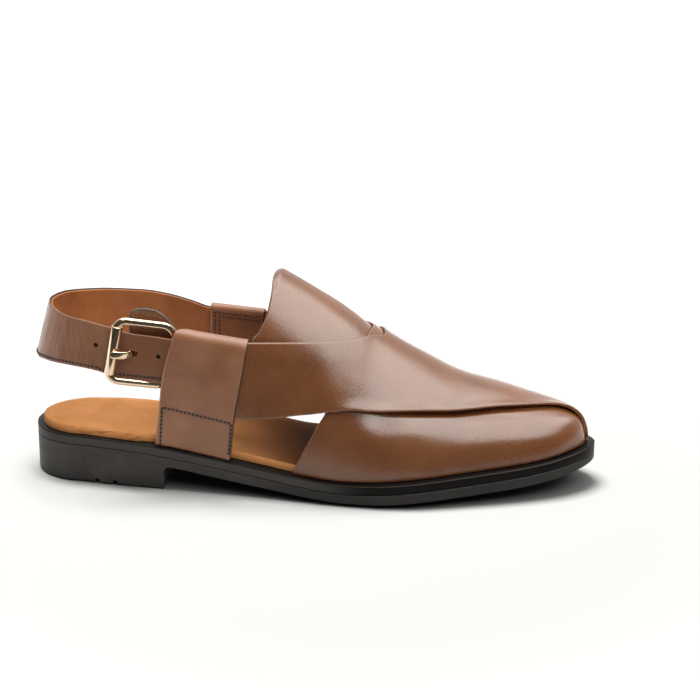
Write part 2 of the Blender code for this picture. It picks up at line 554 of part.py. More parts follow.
PRONG = 1.1
prong_line = [(HALF - WIRE - 0.35 - PRONG, -0.6), (10.0, -1.6), (6.0, -2.7), (2.0, -3.5), (-1.6, -4.2), (-3.0, -3.9), (-5.6, 0.5), (-7.4, 2.3),
              (-10.0, 3.4), (-13.0, 4.15), (-15.3, 4.25), (-17.0, 4.1)]
prong = wire("buckle_prong", [MID + E1 * a + E3 * b for a, b in prong_line], PRONG, False)
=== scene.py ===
import math

import bmesh
import bpy
import numpy as np
from mathutils import Matrix, Vector


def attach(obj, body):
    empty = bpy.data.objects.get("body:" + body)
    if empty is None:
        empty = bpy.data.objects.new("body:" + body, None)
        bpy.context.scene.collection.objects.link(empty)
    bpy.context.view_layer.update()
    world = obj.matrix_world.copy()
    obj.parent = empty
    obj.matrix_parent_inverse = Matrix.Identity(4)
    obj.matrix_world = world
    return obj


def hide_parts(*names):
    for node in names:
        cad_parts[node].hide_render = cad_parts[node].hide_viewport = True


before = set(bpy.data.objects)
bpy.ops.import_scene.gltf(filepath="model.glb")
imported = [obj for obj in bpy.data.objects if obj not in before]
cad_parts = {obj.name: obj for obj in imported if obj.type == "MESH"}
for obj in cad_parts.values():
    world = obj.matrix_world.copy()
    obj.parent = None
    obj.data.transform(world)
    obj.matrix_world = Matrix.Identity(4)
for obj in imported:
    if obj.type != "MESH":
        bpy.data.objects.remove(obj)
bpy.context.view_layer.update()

# Lengths in the tables are millimetres. In the tables x runs from the back of the heel to the toe;
# to_world() moves them into the frame of the CAD, whose origin is the middle of the heel's bottom.
MM = 0.001
HEEL_TO_ORIGIN = 38.0
LENGTH = 300.0
BREAST = 75.0
CLEAR = 0.3
WELT = 4.7
INSOLE = 4.4
STRAP = 2.4
PAD = 1.5
WIRE = 1.5
TIP = 293.2
EAR_SKIN = 1.7
EAR_INNER = 1.5
EAR_STITCH = 43.0

# x, outer half width, inner half width of the sole
OUTLINE = [(30, 28.5, 28.6), (40, 30.4, 30.4), (55, 32.6, 31.0), (70, 34.3, 29.6), (84, 35.9, 27.4), (100, 37.6, 26.2),
           (115, 39.4, 26.8), (130, 41.6, 29.6), (145, 44.4, 34.0), (160, 47.0, 39.2), (175, 49.0, 44.0), (190, 49.8, 47.8),
           (205, 48.7, 49.6), (220, 45.3, 48.7), (235, 40.7, 45.6), (250, 35.7, 41.2), (264, 30.4, 36.3), (278, 23.8, 29.8)]
# x, top of the welt, bottom edge of the sole, bottom of the sole, width of the bottom bevel
HEIGHTS = [(75.4, 22.4, 10.2, 10.0, 3.0), (77.5, 22.2, 12.2, 11.9, 3.0), (84, 21.3, 11.6, 11.1, 3.5), (95, 19.8, 9.9, 9.1, 4.0),
           (106, 18.2, 8.2, 7.2, 4.5), (116, 16.9, 6.8, 5.6, 5.0), (127, 15.4, 5.4, 4.0, 5.0), (138, 14.0, 4.1, 2.5, 5.5),
           (149, 12.7, 2.9, 1.2, 6.0), (157, 11.9, 2.1, 0.4, 6.0), (164, 11.4, 1.6, 0.0, 6.0), (175, 11.2, 1.3, 0.0, 6.0),
           (186, 11.5, 1.4, 0.0, 6.0), (196, 12.1, 1.8, 0.0, 6.0), (204, 12.8, 2.4, 0.3, 6.0), (214, 13.6, 3.2, 1.4, 6.0),
           (228, 14.8, 4.4, 2.8, 5.5), (242, 15.9, 5.5, 4.1, 5.0), (256, 17.0, 6.6, 5.4, 4.5), (270, 18.3, 8.1, 7.0, 4.0),
           (283, 19.9, 9.9, 9.0, 3.5), (293, 21.1, 11.8, 11.1, 3.0), (300, 21.7, 13.4, 12.9, 2.0)]
# x, top of the welt over the heel
RIM = [(0, 25.3), (20, 25.3), (40, 24.9), (55, 24.2), (65, 23.5), (75.4, 22.4)]
# x, outer half girth, inner half girth, tuck of the inner side at its foot, offset of the crest, power of the section
GIRTH = [(60, 28.4, 31.0, 3.0, 0.0, 4.0), (75, 28.6, 29.5, 4.6, 0.0, 4.0), (90, 29.9, 29.3, 6.6, 0.5, 3.7), (105, 31.6, 30.0, 7.4, 2.0, 3.0),
         (120, 33.8, 31.4, 7.2, 3.5, 2.45), (138, 37.2, 34.0, 5.6, 4.5, 2.1), (154, 40.0, 37.0, 3.8, 4.5, 2.0), (170, 42.2, 39.6, 1.8, 4.5, 2.0),
         (186, 42.8, 41.8, 0.6, 4.5, 2.0), (200, 41.8, 43.0, 0.0, 4.5, 2.0), (215, 39.0, 42.6, 0.0, 4.5, 2.05), (230, 34.8, 40.2, 0.0, 4.5, 2.1),
         (245, 30.0, 36.4, 0.0, 4.5, 2.2), (260, 24.8, 31.6, 0.0, 4.2, 2.3), (272, 19.8, 26.8, 0.0, 4.0, 2.4), (281, 14.4, 21.6, 0.0, 3.8, 2.4),
         (287, 8.8, 16.0, 0.0, 3.6, 2.4), (TIP, -3.5, 3.5, 0.0, 3.5, 2.4)]
# x, height of the crest of the last
CREST = [(60, 140.0), (75, 134.0), (90, 129.2), (105, 124.2), (120, 118.6), (133, 112.0), (143, 106.5), (154, 100.0), (164, 93.9),
         (175, 85.8), (182, 79.8), (190, 73.8), (206, 64.6), (228, 53.6), (249, 47.9), (270, 41.7), (281, 38.6), (286.4, 36.5),
         (290.2, 33.6), (292.3, 28.8), (TIP, 22.2)]
# edges of the panels: x, girth fraction (0 outer foot, 0.5 crest, 1 inner foot)
OVER_REAR = [(103, 0.15), (121, 0.193), (132, 0.223), (147, 0.26), (160.81, 0.297), (170.64, 0.3387), (179.78, 0.4027),
             (186.47, 0.4748), (185.5, 0.5479), (181.5, 0.6251), (176.5, 0.714), (173, 0.7746), (168.5, 0.8315),
             (162.5, 0.909), (156, 1)]
OVER_FRONT = [(99, 0.022), (115, 0.046), (122, 0.058), (130, 0.0745), (138.5, 0.0925), (148, 0.1125), (158.96, 0.1325), (178.51, 0.1768), (198.77, 0.2157),
              (213.9, 0.241), (228.96, 0.2691), (239, 0.2901), (249.01, 0.3158), (257.02, 0.3407), (265.03, 0.375),
              (275, 0.4308), (282, 0.4704), (287, 0.4831), (290.6, 0.4868), (292.1, 0.4906), (293, 0.5), (293.195, 1)]
UNDER_REAR = [(103, 0.85), (121, 0.806), (132, 0.775), (150, 0.735), (165, 0.6836), (175.5, 0.6294), (180.5, 0.5577),
              (181, 0.4999), (179.34, 0.4164), (173.71, 0.3315), (167.74, 0.2329), (160.97, 0.1334), (157.5, 0.105),
              (154, 0.075), (149, 0.037), (144, 0)]
UNDER_FRONT = [(99, 0.966), (115, 0.94), (122, 0.93), (138, 0.9), (158, 0.8659), (176, 0.8126), (196, 0.73), (216, 0.6531),
               (236, 0.5958), (256, 0.5673), (272, 0.5577), (284, 0.5577), (288, 0.5577), (291, 0.5577), (292.3, 0.5577),
               (293, 0.5577), (293.195, 0)]
# tongue: girth fraction, x of the free rear edge, x of the hidden front edge
TONGUE_EDGE = [(0.130, 120.6, 150.0), (0.195, 121.8, 166.0), (0.230, 125.6, 174.0), (0.285, 129.3, 184.0), (0.370, 131.0, 192.0),
               (0.450, 131.4, 196.0), (0.475, 131.5, 196.5), (0.500, 131.6, 197.0), (0.525, 131.5, 196.5), (0.550, 131.4, 196.0),
               (0.630, 131.0, 192.0), (0.715, 129.3, 184.0), (0.770, 125.6, 174.0), (0.805, 121.8, 166.0), (0.870, 120.6, 150.0)]
# ears: height, x of the rear edge, x of the front edge
EAR_OUTER = [(18, 69.5, 111.0), (40, 72.4, 113.4), (60, 74.9, 117.2), (79, 80.1, 120.4), (88, 83.4, 121.8)]
EAR_INNER_SIDE = [(18, 84.0, 112.0), (40, 87.0, 114.0), (60, 90.0, 117.6), (79, 91.0, 120.6), (88, 91.2, 122.0)]
EAR_TOP = ((83.4, 86.5, 121.6, 82.1), (91.2, 85.0, 121.8, 82.6))
EAR_OFFSET = ((3.3, 4.8), (2.4, 3.1))
# sling strap, outer face: x y z of the top edge, x y z of the bottom edge
SLING = [(76.0, -29.7, 81.6, 73.0, -29.9, 57.8), (68.5, -30.2, 82.6, 65.5, -30.4, 58.6), (61.5, -31.0, 83.6, 58.5, -31.2, 59.4),
         (55.5, -31.9, 85.0, 52.3, -32.1, 60.2), (49.8, -31.9, 86.8, 46.4, -32.1, 61.6), (43.0, -30.9, 88.2, 40.6, -31.4, 63.0),
         (33.0, -28.9, 90.0, 31.0, -30.2, 64.4), (25.0, -25.7, 90.8, 20.0, -27.0, 65.0), (17.8, -20.4, 92.0, 11.0, -21.6, 65.0),
         (12.1, -12.6, 93.1, 4.4, -13.2, 64.2), (9.3, 0.0, 93.6, 1.0, 0.0, 63.1), (12.1, 12.6, 93.1, 4.4, 13.2, 63.5),
         (17.8, 20.4, 92.3, 11.0, 21.6, 64.0), (25.0, 25.9, 91.5, 20.0, 27.2, 64.5), (33.0, 28.9, 91.1, 31.0, 30.4, 64.6),
         (43.0, 30.5, 90.6, 41.0, 31.4, 64.4), (55.0, 31.3, 90.0, 53.0, 32.0, 63.6), (68.0, 31.5, 88.0, 65.0, 32.0, 62.0),
         (80.0, 30.8, 85.0, 77.0, 31.0, 60.0)]
SLING_TIP = [(98.0, 78.6, 95.0, 54.8), (91.0, 79.6, 88.0, 55.8), (85.5, 80.4, 82.5, 56.6)]
SLING_END = [(90.0, 82.6, 87.0, 57.8), (94.5, 81.9, 91.5, 57.2), (98.6, 81.2, 95.6, 56.6)]
SLING_HOLES = [(40.6, 77.0, 1.2, 1.2), (59.6, 73.0, 2.9, 1.7), (73.2, 71.4, 1.2, 1.2)]
# tab behind the buckle: x, z top, z bottom, y of its outer face
TAB = [(57.5, 90.5, 64.0, -26.3), (58.3, 94.0, 61.5, -26.0), (61.5, 95.6, 60.2, -24.9), (66.0, 95.6, 59.8, -24.5), (71.0, 94.8, 59.4, -23.8),
       (76.0, 91.6, 59.0, -23.4), (79.5, 87.2, 58.6, -23.4), (82.0, 83.6, 58.2, -24.2), (84.3, 81.2, 57.8, -25.8)]
BAR_A = (49.2, -34.9, 76.6)
BAR_B = (78.0, -25.7, 71.0)
BUCKLE_HALF = 17.0
BUCKLE_CORNER = 3.9
ROLL_HALF = 13.2
NOTCHES = (38.1, 48.2)


# ---------------------------------------------------------------- the last
def spline(rows, warp=None):
    a = np.array(rows, float)
    t = warp(a[:, 0]) if warp else a[:, 0]
    h = np.diff(t)

    def column(y):
        d = np.diff(y) / h
        m = np.zeros(len(t))
        for i in range(1, len(t) - 1):
            if d[i - 1] * d[i] > 0:
                w1, w2 = 2 * h[i] + h[i - 1], h[i] + 2 * h[i - 1]
                m[i] = (w1 + w2) / (w1 / d[i - 1] + w2 / d[i])
        m[0], m[-1] = d[0], d[-1]

        def at(x):
            x = np.asarray(x, float)
            x = np.clip(warp(x) if warp else x, t[0], t[-1])
            k = np.clip(np.searchsorted(t, x) - 1, 0, len(t) - 2)
            s = (x - t[k]) / h[k]
            return ((1 + 2 * s) * (1 - s) ** 2 * y[k] + s * (1 - s) ** 2 * h[k] * m[k]
                    + s * s * (3 - 2 * s) * y[k + 1] + s * s * (s - 1) * h[k] * m[k + 1])
        return at
    return [column(a[:, k]) for k in range(1, a.shape[1])]


def nose(x):
    return -np.sqrt(np.maximum(TIP - np.asarray(x, float), 0.0))


def smooth(a, b, x):
    s = np.clip((np.asarray(x, float) - a) / (b - a), 0, 1)
    return s * s * (3 - 2 * s)


half_out, half_in = spline(OUTLINE)
welt_f, edge_f, bottom_f, bevel_f = spline(HEIGHTS)
rim_f, = spline(RIM)
girth_out, girth_in, tuck_f, middle_f, power_f = spline(GIRTH, nose)
crest_f, = spline(CREST, nose)


def welt_top(x):
    x = np.asarray(x, float)
    return np.where(x < 75.4, rim_f(x), welt_f(x))


def sole_half(x, side, inset=0.0):
    x = np.asarray(x, float)
    tip = LENGTH - inset
    a, b = 30.0 - inset, (28.5 if side < 0 else 28.6) - inset
    heel = b * np.sqrt(np.maximum(0.0, 1 - ((30.0 - np.minimum(x, 30)) / a) ** 2))
    w = (27.8 if side < 0 else 25.8) - inset
    toe = w * np.sqrt(np.maximum(0.0, (tip - np.maximum(x, 278)) / (tip - 278.0))) + (-4.0 if side < 0 else 4.0)
    mid = (half_out if side < 0 else half_in)(x) - inset
    return np.where(x < 30, heel, np.where(x > 278, toe, mid))


def foot_z(x):
    x = np.asarray(x, float)
    return welt_top(x + 4.2 * smooth(268, 290, x)) + CLEAR


def lean(x):
    """How much less full the sides of the worn-in upper are than the plain section."""
    return 0.30 * smooth(156, 190, x)


def last(x, v):
    x, v = np.broadcast_arrays(np.asarray(x, float), np.asarray(v, float))
    c, n = middle_f(x), power_f(x)
    n = n - lean(x) * np.where(v < 0.5, 0.20 + 0.80 * smooth(0.07, 0.23, v), 0.6)
    foot = foot_z(x)
    h = np.maximum(crest_f(x) - foot, 0.05)
    co, si = np.cos(np.pi * v), np.abs(np.sin(np.pi * v))
    z = foot + h * si ** (2 / n)
    wide = np.where(co > 0, np.maximum(girth_out(x) + c, 0.02), np.maximum(girth_in(x) - c, 0.02))
    y = c - np.sign(co) * wide * np.abs(co) ** (2 / n)
    y = y - np.where(co < 0, tuck_f(x) * np.exp(-(z - foot) / 12.0), 0.0)
    return np.stack([x, y, z], -1)


def station(u):
    return TIP - (TIP - 60.0) * (1 - np.asarray(u, float)) ** 2


def unstation(x):
    return 1 - np.sqrt(np.clip((TIP - np.asarray(x, float)) / (TIP - 60.0), 0, 1))


def last_normal(x, v):
    x = np.minimum(np.asarray(x, float), TIP - 1e-3)
    v = np.asarray(v, float)
    u, w, e = unstation(x), np.clip(v, 0.004, 0.996), 1e-3
    a = last(station(np.minimum(u + e, 1 - 1e-4)), w) - last(station(u - e), w)
    b = last(x, w + e) - last(x, w - e)
    n = np.cross(a, b)
    level = np.minimum(smooth(0.0, 0.07, v), smooth(0.0, 0.07, 1 - v))
    n[..., 2] *= level
    return n / (np.linalg.norm(n, axis=-1, keepdims=True) + 1e-12)


def skin(x, v, off):
    x = np.minimum(np.asarray(x, float), TIP - 1e-3)
    return last(x, v) + last_normal(x, v) * np.asarray(off, float)[..., None]


def side_y(x, z, side):
    x, z = np.broadcast_arrays(np.asarray(x, float), np.asarray(z, float))
    foot = welt_top(x) + CLEAR
    h = crest_f(x) - foot
    n, c = power_f(x), middle_f(x)
    s = np.clip((z - foot) / h, 0.0, 1.0)
    k = (1 - s ** n) ** (1 / n)
    if side < 0:
        return (girth_out(x) + c) * k - c
    return (girth_in(x) - c) * k + c - tuck_f(x) * np.exp(-np.maximum(z - foot, 0.0) / 12.0)


def edge(rows, count):
    a = np.array(rows, float)
    p = last(a[:, 0], a[:, 1])
    s = np.concatenate([[0], np.cumsum(np.linalg.norm(np.diff(p, axis=0), axis=1))])
    fu, fv = spline(np.column_stack([s / s[-1], unstation(a[:, 0]), a[:, 1]]))
    t = np.linspace(0, 1, count)
    return np.stack([fu(t), fv(t)], -1)


def to_world(p):
    return (np.asarray(p, float) - np.array([HEEL_TO_ORIGIN, 0, 0])) * MM


def noise1(x, seed, octaves=3):
    """Smooth noise along a line, from sines with fixed phases."""
    r = np.random.RandomState(seed)
    out = np.zeros_like(np.asarray(x, float))
    for k in range(octaves * 3):
        f = 2 ** (k / 3.0) * (0.8 + 0.4 * r.rand())
        out = out + np.sin(np.asarray(x, float) * f + r.rand() * 6.28) / f ** 0.8
    return out / 2.5


# ---------------------------------------------------------------- meshes
def make(name, points, faces, mats, face_mat=None, attrs=None, sharp=None, replaces=()):
    mesh = bpy.data.meshes.new(name)
    mesh.from_pydata(to_world(points).tolist(), [], faces)
    for m in mats:
        mesh.materials.append(m)
    if face_mat is not None:
        mesh.polygons.foreach_set("material_index", np.asarray(face_mat, np.int32))
    mesh.shade_smooth()
    if sharp:
        mesh.set_sharp_from_angle(angle=math.radians(sharp))
    for k, values in (attrs or {}).items():
        a = mesh.attributes.new(k, "FLOAT", "POINT")
        a.data.foreach_set("value", np.asarray(values, np.float32).ravel())
    mesh.validate()
    ob = bpy.data.objects.new(name, mesh)
    bpy.context.scene.collection.objects.link(ob)
    return keep(ob, replaces)


def keep(ob, replaces=()):
    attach(ob, "root")
    if replaces:
        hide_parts(*replaces)
    return ob


def quads(n, m, start=0, closed=False, flip=False):
    """Faces of an n by m grid of points; closed joins the last column to the first."""
    cols = m if closed else m - 1
    i, k = np.meshgrid(np.arange(n - 1), np.arange(cols), indexing="ij")
    i, k = i.ravel(), k.ravel()
    a, b = i * m + k, i * m + (k + 1) % m
    c, d = b + m, a + m
    f = np.stack([a, b, c, d], 1) + start
    return (f[:, ::-1] if flip else f).tolist()


def sheet(inner, outer):
    """Closed sheet between two grids: points, faces, and for each face 0 outer, 1 inner, 2 rim."""
    n, m = inner.shape[:2]
    pts = np.concatenate([outer.reshape(-1, 3), inner.reshape(-1, 3)])
    top = n * m
    f_out, f_in = quads(n, m, flip=True), quads(n, m, top)
    rim = ([i * m for i in range(n)] + [(n - 1) * m + k for k in range(1, m)]
           + [i * m + m - 1 for i in range(n - 2, -1, -1)] + [k for k in range(m - 2, 0, -1)])
    f_rim = [(b, a, top + a, top + b) for a, b in zip(rim, rim[1:] + rim[:1])]
    kinds = [0] * len(f_out) + [1] * len(f_in) + [2] * len(f_rim)
    return pts, f_out + f_in + f_rim, kinds


def arc(points, axis):
    """Arc length along one axis of a grid of points, starting at zero."""
    d = np.linalg.norm(np.diff(points, axis=axis), axis=-1)
    shape = list(d.shape)
    shape[axis] = 1
    return np.concatenate([np.zeros(shape), np.cumsum(d, axis=axis)], axis=axis)


def rings(name, ring_points, mats, sharp=35, attrs=None, slot=None, replaces=(), face_mat=None):
    """Solid through rings of points, with flat ends."""
    n, m = ring_points.shape[:2]
    pts = ring_points.reshape(-1, 3)
    faces = quads(n, m, closed=True)
    faces.append(list(range(m - 1, -1, -1)))
    faces.append([(n - 1) * m + k for k in range(m)])
    return make(name, pts, faces, mats, face_mat, attrs, sharp, replaces)


def tube(path, radius, sides=10, closed=False, frames=None, profile=None):
    """Points and faces of a tube. frames gives two unit vectors for each point; profile is a ring in that plane."""
    path = np.asarray(path, float)
    n = len(path)
    if frames is None:
        tang = np.gradient(path, axis=0) if not closed else (np.roll(path, -1, 0) - np.roll(path, 1, 0))
        tang /= np.linalg.norm(tang, axis=1, keepdims=True)
        ref = np.array([0.31, 0.12, 0.94])
        a = np.cross(tang, ref)
        a /= np.linalg.norm(a, axis=1, keepdims=True)
        b = np.cross(tang, a)
    else:
        a, b = frames
    if profile is None:
        ang = np.linspace(0, 2 * np.pi, sides, endpoint=False)
        profile = np.stack([np.cos(ang), np.sin(ang)], 1)
        profile = profile[None] * np.broadcast_to(np.asarray(radius, float), (n,))[:, None, None]
    else:
        profile = np.broadcast_to(profile, (n,) + profile.shape[-2:])
    pts = path[:, None, :] + profile[..., 0:1] * a[:, None, :] + profile[..., 1:2] * b[:, None, :]
    m = profile.shape[1]
    faces = quads(n, m, closed=True)
    if closed:
        for k in range(m):
            faces.append([(n - 1) * m + k, (n - 1) * m + (k + 1) % m, (k + 1) % m, k])
    else:
        faces.append(list(range(m - 1, -1, -1)))
        faces.append([(n - 1) * m + k for k in range(m)])
    return pts.reshape(-1, 3), faces


def merge(parts):
    """Joins several (points, faces) lists."""
    pts, faces, at = [], [], 0
    for p, f in parts:
        pts.append(np.asarray(p, float))
        faces += [[i + at for i in q] for q in f]
        at += len(p)
    return np.concatenate(pts), faces


def thread(name, lines, pitch, length, radius, mat, lift=0.25):
    """Sewn thread: short stitches along each line. A line is (points, normals)."""
    parts = []
    for pts, nrm in lines:
        pts, nrm = np.asarray(pts, float), np.asarray(nrm, float)
        s = np.concatenate([[0], np.cumsum(np.linalg.norm(np.diff(pts, axis=0), axis=1))])
        count = max(1, int(round(s[-1] / pitch)))
        step = s[-1] / count
        t = np.linspace(-1, 1, 7)
        for i in range(count):
            mid = (i + 0.5) * step
            where = np.clip(mid + t * length / 2, 0, s[-1])
            p = np.stack([np.interp(where, s, pts[:, k]) for k in range(3)], 1)
            n = np.stack([np.interp(where, s, nrm[:, k]) for k in range(3)], 1)
            n /= np.linalg.norm(n, axis=1, keepdims=True)
            rise = lift * np.sqrt(np.maximum(0.0, 1 - t ** 2)) - radius * 0.55
            p = p + n * rise[:, None]
            tang = np.gradient(p, axis=0)
            tang /= np.linalg.norm(tang, axis=1, keepdims=True)
            a = np.cross(tang, n)
            a /= np.linalg.norm(a, axis=1, keepdims=True)
            b = np.cross(a, tang)
            rad = radius * np.sqrt(np.maximum(0.15, 1 - 0.85 * np.abs(t) ** 3))
            parts.append(tube(p, rad, 6, frames=(a, b)))
    pts, faces = merge(parts)
    return make(name, pts, faces, [mat])


# ---------------------------------------------------------------- materials
def node(tree, kind, inputs=None, **props):
    n = tree.nodes.new(kind)
    for k, v in props.items():
        setattr(n, k, v)
    for k, v in (inputs or {}).items():
        if isinstance(v, bpy.types.NodeSocket):
            tree.links.new(v, n.inputs[k])
        else:
            n.inputs[k].default_value = v
    return n


def ramp(tree, fac, stops, mode="LINEAR"):
    n = node(tree, "ShaderNodeValToRGB", {"Fac": fac})
    n.color_ramp.interpolation = mode
    e = n.color_ramp.elements
    while len(e) < len(stops):
        e.new(0.5)
    for k, (pos, col) in zip(e, stops):
        k.position = pos
        k.color = (*col, 1.0) if len(col) == 3 else (col[0],) * 3 + (1.0,)
    return n.outputs["Color"]


def mix(tree, fac, a, b, kind="MIX"):
    n = node(tree, "ShaderNodeMix", data_type="RGBA", blend_type=kind, clamp_factor=True)
    for key, v in (("Factor_Float", fac), ("A_Color", a), ("B_Color", b)):
        s = next(i for i in n.inputs if i.identifier == key)
        if isinstance(v, bpy.types.NodeSocket):
            tree.links.new(v, s)
        elif key == "Factor_Float":
            s.default_value = v
        else:
            s.default_value = (*v, 1.0)
    return next(o for o in n.outputs if o.identifier == "Result_Color")


def maths(tree, op, a, b=0.0, clamp=False):
    n = node(tree, "ShaderNodeMath", operation=op, use_clamp=clamp)
    for k, v in ((0, a), (1, b)):
        if isinstance(v, bpy.types.NodeSocket):
            tree.links.new(v, n.inputs[k])
        else:
            n.inputs[k].default_value = v
    return n.outputs[0]


def remap(tree, value, a, b, c=0.0, d=1.0, kind="SMOOTHSTEP"):
    n = node(tree, "ShaderNodeMapRange", {"Value": value, "From Min": a, "From Max": b, "To Min": c, "To Max": d},
             interpolation_type=kind)
    return n.outputs["Result"]


def start(name):
    m = bpy.data.materials.new(name)
    m.use_nodes = True
    t = m.node_tree
    t.nodes.clear()
    out = node(t, "ShaderNodeOutputMaterial")
    shader = node(t, "ShaderNodeBsdfPrincipled")
    t.links.new(shader.outputs["BSDF"], out.inputs["Surface"])
    coord = node(t, "ShaderNodeTexCoord").outputs["Object"]
    return m, t, shader, coord


def noise(t, coord, scale, detail=3.0, rough=0.5, distort=0.0, kind="FBM"):
    n = node(t, "ShaderNodeTexNoise", {"Vector": coord, "Scale": scale, "Detail": detail, "Roughness": rough,
                                      "Distortion": distort}, noise_dimensions="3D")
    return n.outputs["Fac"]


def stretched(t, coord, scale, turn=(0, 0, 0)):
    return node(t, "ShaderNodeMapping", {"Vector": coord, "Scale": scale, "Rotation": turn}).outputs["Vector"]


def attribute(t, name):
    return node(t, "ShaderNodeAttribute", attribute_name=name, attribute_type="GEOMETRY").outputs["Fac"]


def bumps(t, layers):
    """Chain of bumps: (height, distance in metres, strength)."""
    normal = None
    for height, dist, strength in layers:
        n = node(t, "ShaderNodeBump", {"Height": height, "Distance": dist, "Strength": strength})
        if normal is not None:
            t.links.new(normal, n.inputs["Normal"])
        normal = n.outputs["Normal"]
    return normal


def leather(name, low, mid, high, edge, rough=0.36, coat=0.25, coat_rough=0.22, grain=1.0, wave=1.0, worn=0.35, rim=True, dark=0.55, painted_shade_ahead=None):
    """Smooth full grain leather: mottled colour, pores, a faint wave of the hide, worn and darkened borders, and
    optional painted shade ahead of a given X.
    """
    m, t, s, co = start(name)
    cloud = noise(t, co, 38.0, 4.0, 0.55, 0.4)
    fine = noise(t, co, 420.0, 3.0, 0.6)
    streak = noise(t, stretched(t, co, (60.0, 240.0, 160.0), (0.2, 0.5, 0.3)), 1.0, 3.0, 0.6)
    base = ramp(t, cloud, [(0.30, low), (0.52, mid), (0.74, high)])
    base = mix(t, maths(t, "MULTIPLY", remap(t, fine, 0.42, 0.75), 0.22), base, low)
    base = mix(t, maths(t, "MULTIPLY", remap(t, streak, 0.55, 0.78), 0.16), base, high)
    # painted shade: ahead of the given X the colour darkens toward the given shade colour
    if painted_shade_ahead:
        ahead = node(t, "ShaderNodeSeparateXYZ", {"Vector": co}).outputs["X"]
        base = mix(t, maths(t, "MULTIPLY", remap(t, ahead, painted_shade_ahead[0], painted_shade_ahead[1]), 0.8), base, painted_shade_ahead[2])
    if rim:
        d = attribute(t, "rim")
        wob = noise(t, co, 260.0, 3.0, 0.6)
        d2 = maths(t, "ADD", d, maths(t, "MULTIPLY", maths(t, "SUBTRACT", wob, 0.5), 1.4))
        pale = maths(t, "MULTIPLY", remap(t, d2, 0.95, 0.25), worn)
        base = mix(t, pale, base, edge)
        if dark:
            base = mix(t, maths(t, "MULTIPLY", remap(t, d, 0.16, 0.0), dark), base, tuple(0.35 * c for c in low))
    t.links.new(base, s.inputs["Base Color"])
    r = maths(t, "ADD", maths(t, "MULTIPLY", cloud, 0.10), rough - 0.05)
    r = maths(t, "ADD", r, maths(t, "MULTIPLY", remap(t, fine, 0.45, 0.8), 0.06))
    t.links.new(r, s.inputs["Roughness"])
    skew = stretched(t, co, (1.0, 1.0, 0.62), (0.0, 0.75, 0.3))
    cells = node(t, "ShaderNodeTexVoronoi", {"Vector": skew, "Scale": 1500.0, "Randomness": 1.0}, feature="F1").outputs["Distance"]
    grit = noise(t, skew, 820.0, 3.0, 0.65)
    hide = noise(t, co, 70.0, 3.0, 0.5)
    t.links.new(bumps(t, [(hide, 0.0006 * wave, 0.6), (grit, 0.00011 * grain, 0.8), (cells, 0.00006 * grain, 0.9)]), s.inputs["Normal"])
    s.inputs["Specular IOR Level"].default_value = 0.5
    s.inputs["Coat Weight"].default_value = coat
    s.inputs["Coat Roughness"].default_value = coat_rough
    return m


def plain_edge(name, colour, dark, rough=0.5):
    """Cut and painted edge of leather: fibrous, slightly uneven."""
    m, t, s, co = start(name)
    n = noise(t, stretched(t, co, (300.0, 300.0, 900.0)), 1.0, 4.0, 0.6)
    t.links.new(ramp(t, n, [(0.35, dark), (0.65, colour)]), s.inputs["Base Color"])
    s.inputs["Roughness"].default_value = rough
    t.links.new(bumps(t, [(n, 0.00012, 0.8)]), s.inputs["Normal"])
    return m


def lining(name, low, mid, high, rough=0.48, wear=None):
    """Thin smooth lining leather with a soft sheen; for the insole, also a worn side strip and painted shade toward the
    toe.
    """
    m, t, s, co = start(name)
    cloud = noise(t, co, 55.0, 4.0, 0.55, 0.3)
    fleck = noise(t, co, 900.0, 2.0, 0.6)
    base = ramp(t, cloud, [(0.3, low), (0.5, mid), (0.72, high)])
    base = mix(t, maths(t, "MULTIPLY", remap(t, fleck, 0.5, 0.8), 0.18), base, low)
    if wear:
        # painted shade: away from the side strip the insole darkens toward the toe, where the upper shades it
        along = node(t, "ShaderNodeSeparateXYZ", {"Vector": co}).outputs["X"]
        a = attribute(t, "wear")
        deep = maths(t, "MULTIPLY", remap(t, along, 0.064, 0.108, 0.0, 0.90, "LINEAR"), remap(t, a, 0.09, 0.02))
        base = mix(t, deep, base, (0.060, 0.019, 0.006))
        scratch = noise(t, stretched(t, co, (120.0, 500.0, 900.0)), 1.0, 5.0, 0.65)
        k = maths(t, "MULTIPLY", a, remap(t, scratch, 0.48, 0.66))
        base = mix(t, k, base, wear)
    t.links.new(base, s.inputs["Base Color"])
    t.links.new(maths(t, "ADD", maths(t, "MULTIPLY", cloud, 0.12), rough - 0.06), s.inputs["Roughness"])
    pores = node(t, "ShaderNodeTexVoronoi", {"Vector": co, "Scale": 1300.0}, feature="F1").outputs["Distance"]
    t.links.new(bumps(t, [(cloud, 0.0004, 0.5), (pores, 0.00005, 0.9)]), s.inputs["Normal"])
    s.inputs["Specular IOR Level"].default_value = 0.02 if wear else 0.35
    return m


def suede(name, low, high):
    m, t, s, co = start(name)
    nap = noise(t, co, 700.0, 5.0, 0.7)
    cloud = noise(t, co, 90.0, 3.0, 0.6)
    base = mix(t, 0.5, ramp(t, nap, [(0.35, low), (0.65, high)]), ramp(t, cloud, [(0.35, low), (0.7, high)]))
    t.links.new(base, s.inputs["Base Color"])
    s.inputs["Roughness"].default_value = 0.9
    s.inputs["Sheen Weight"].default_value = 0.35
    s.inputs["Sheen Roughness"].default_value = 0.5
    t.links.new(bumps(t, [(nap, 0.0003, 1.0)]), s.inputs["Normal"])
    return m


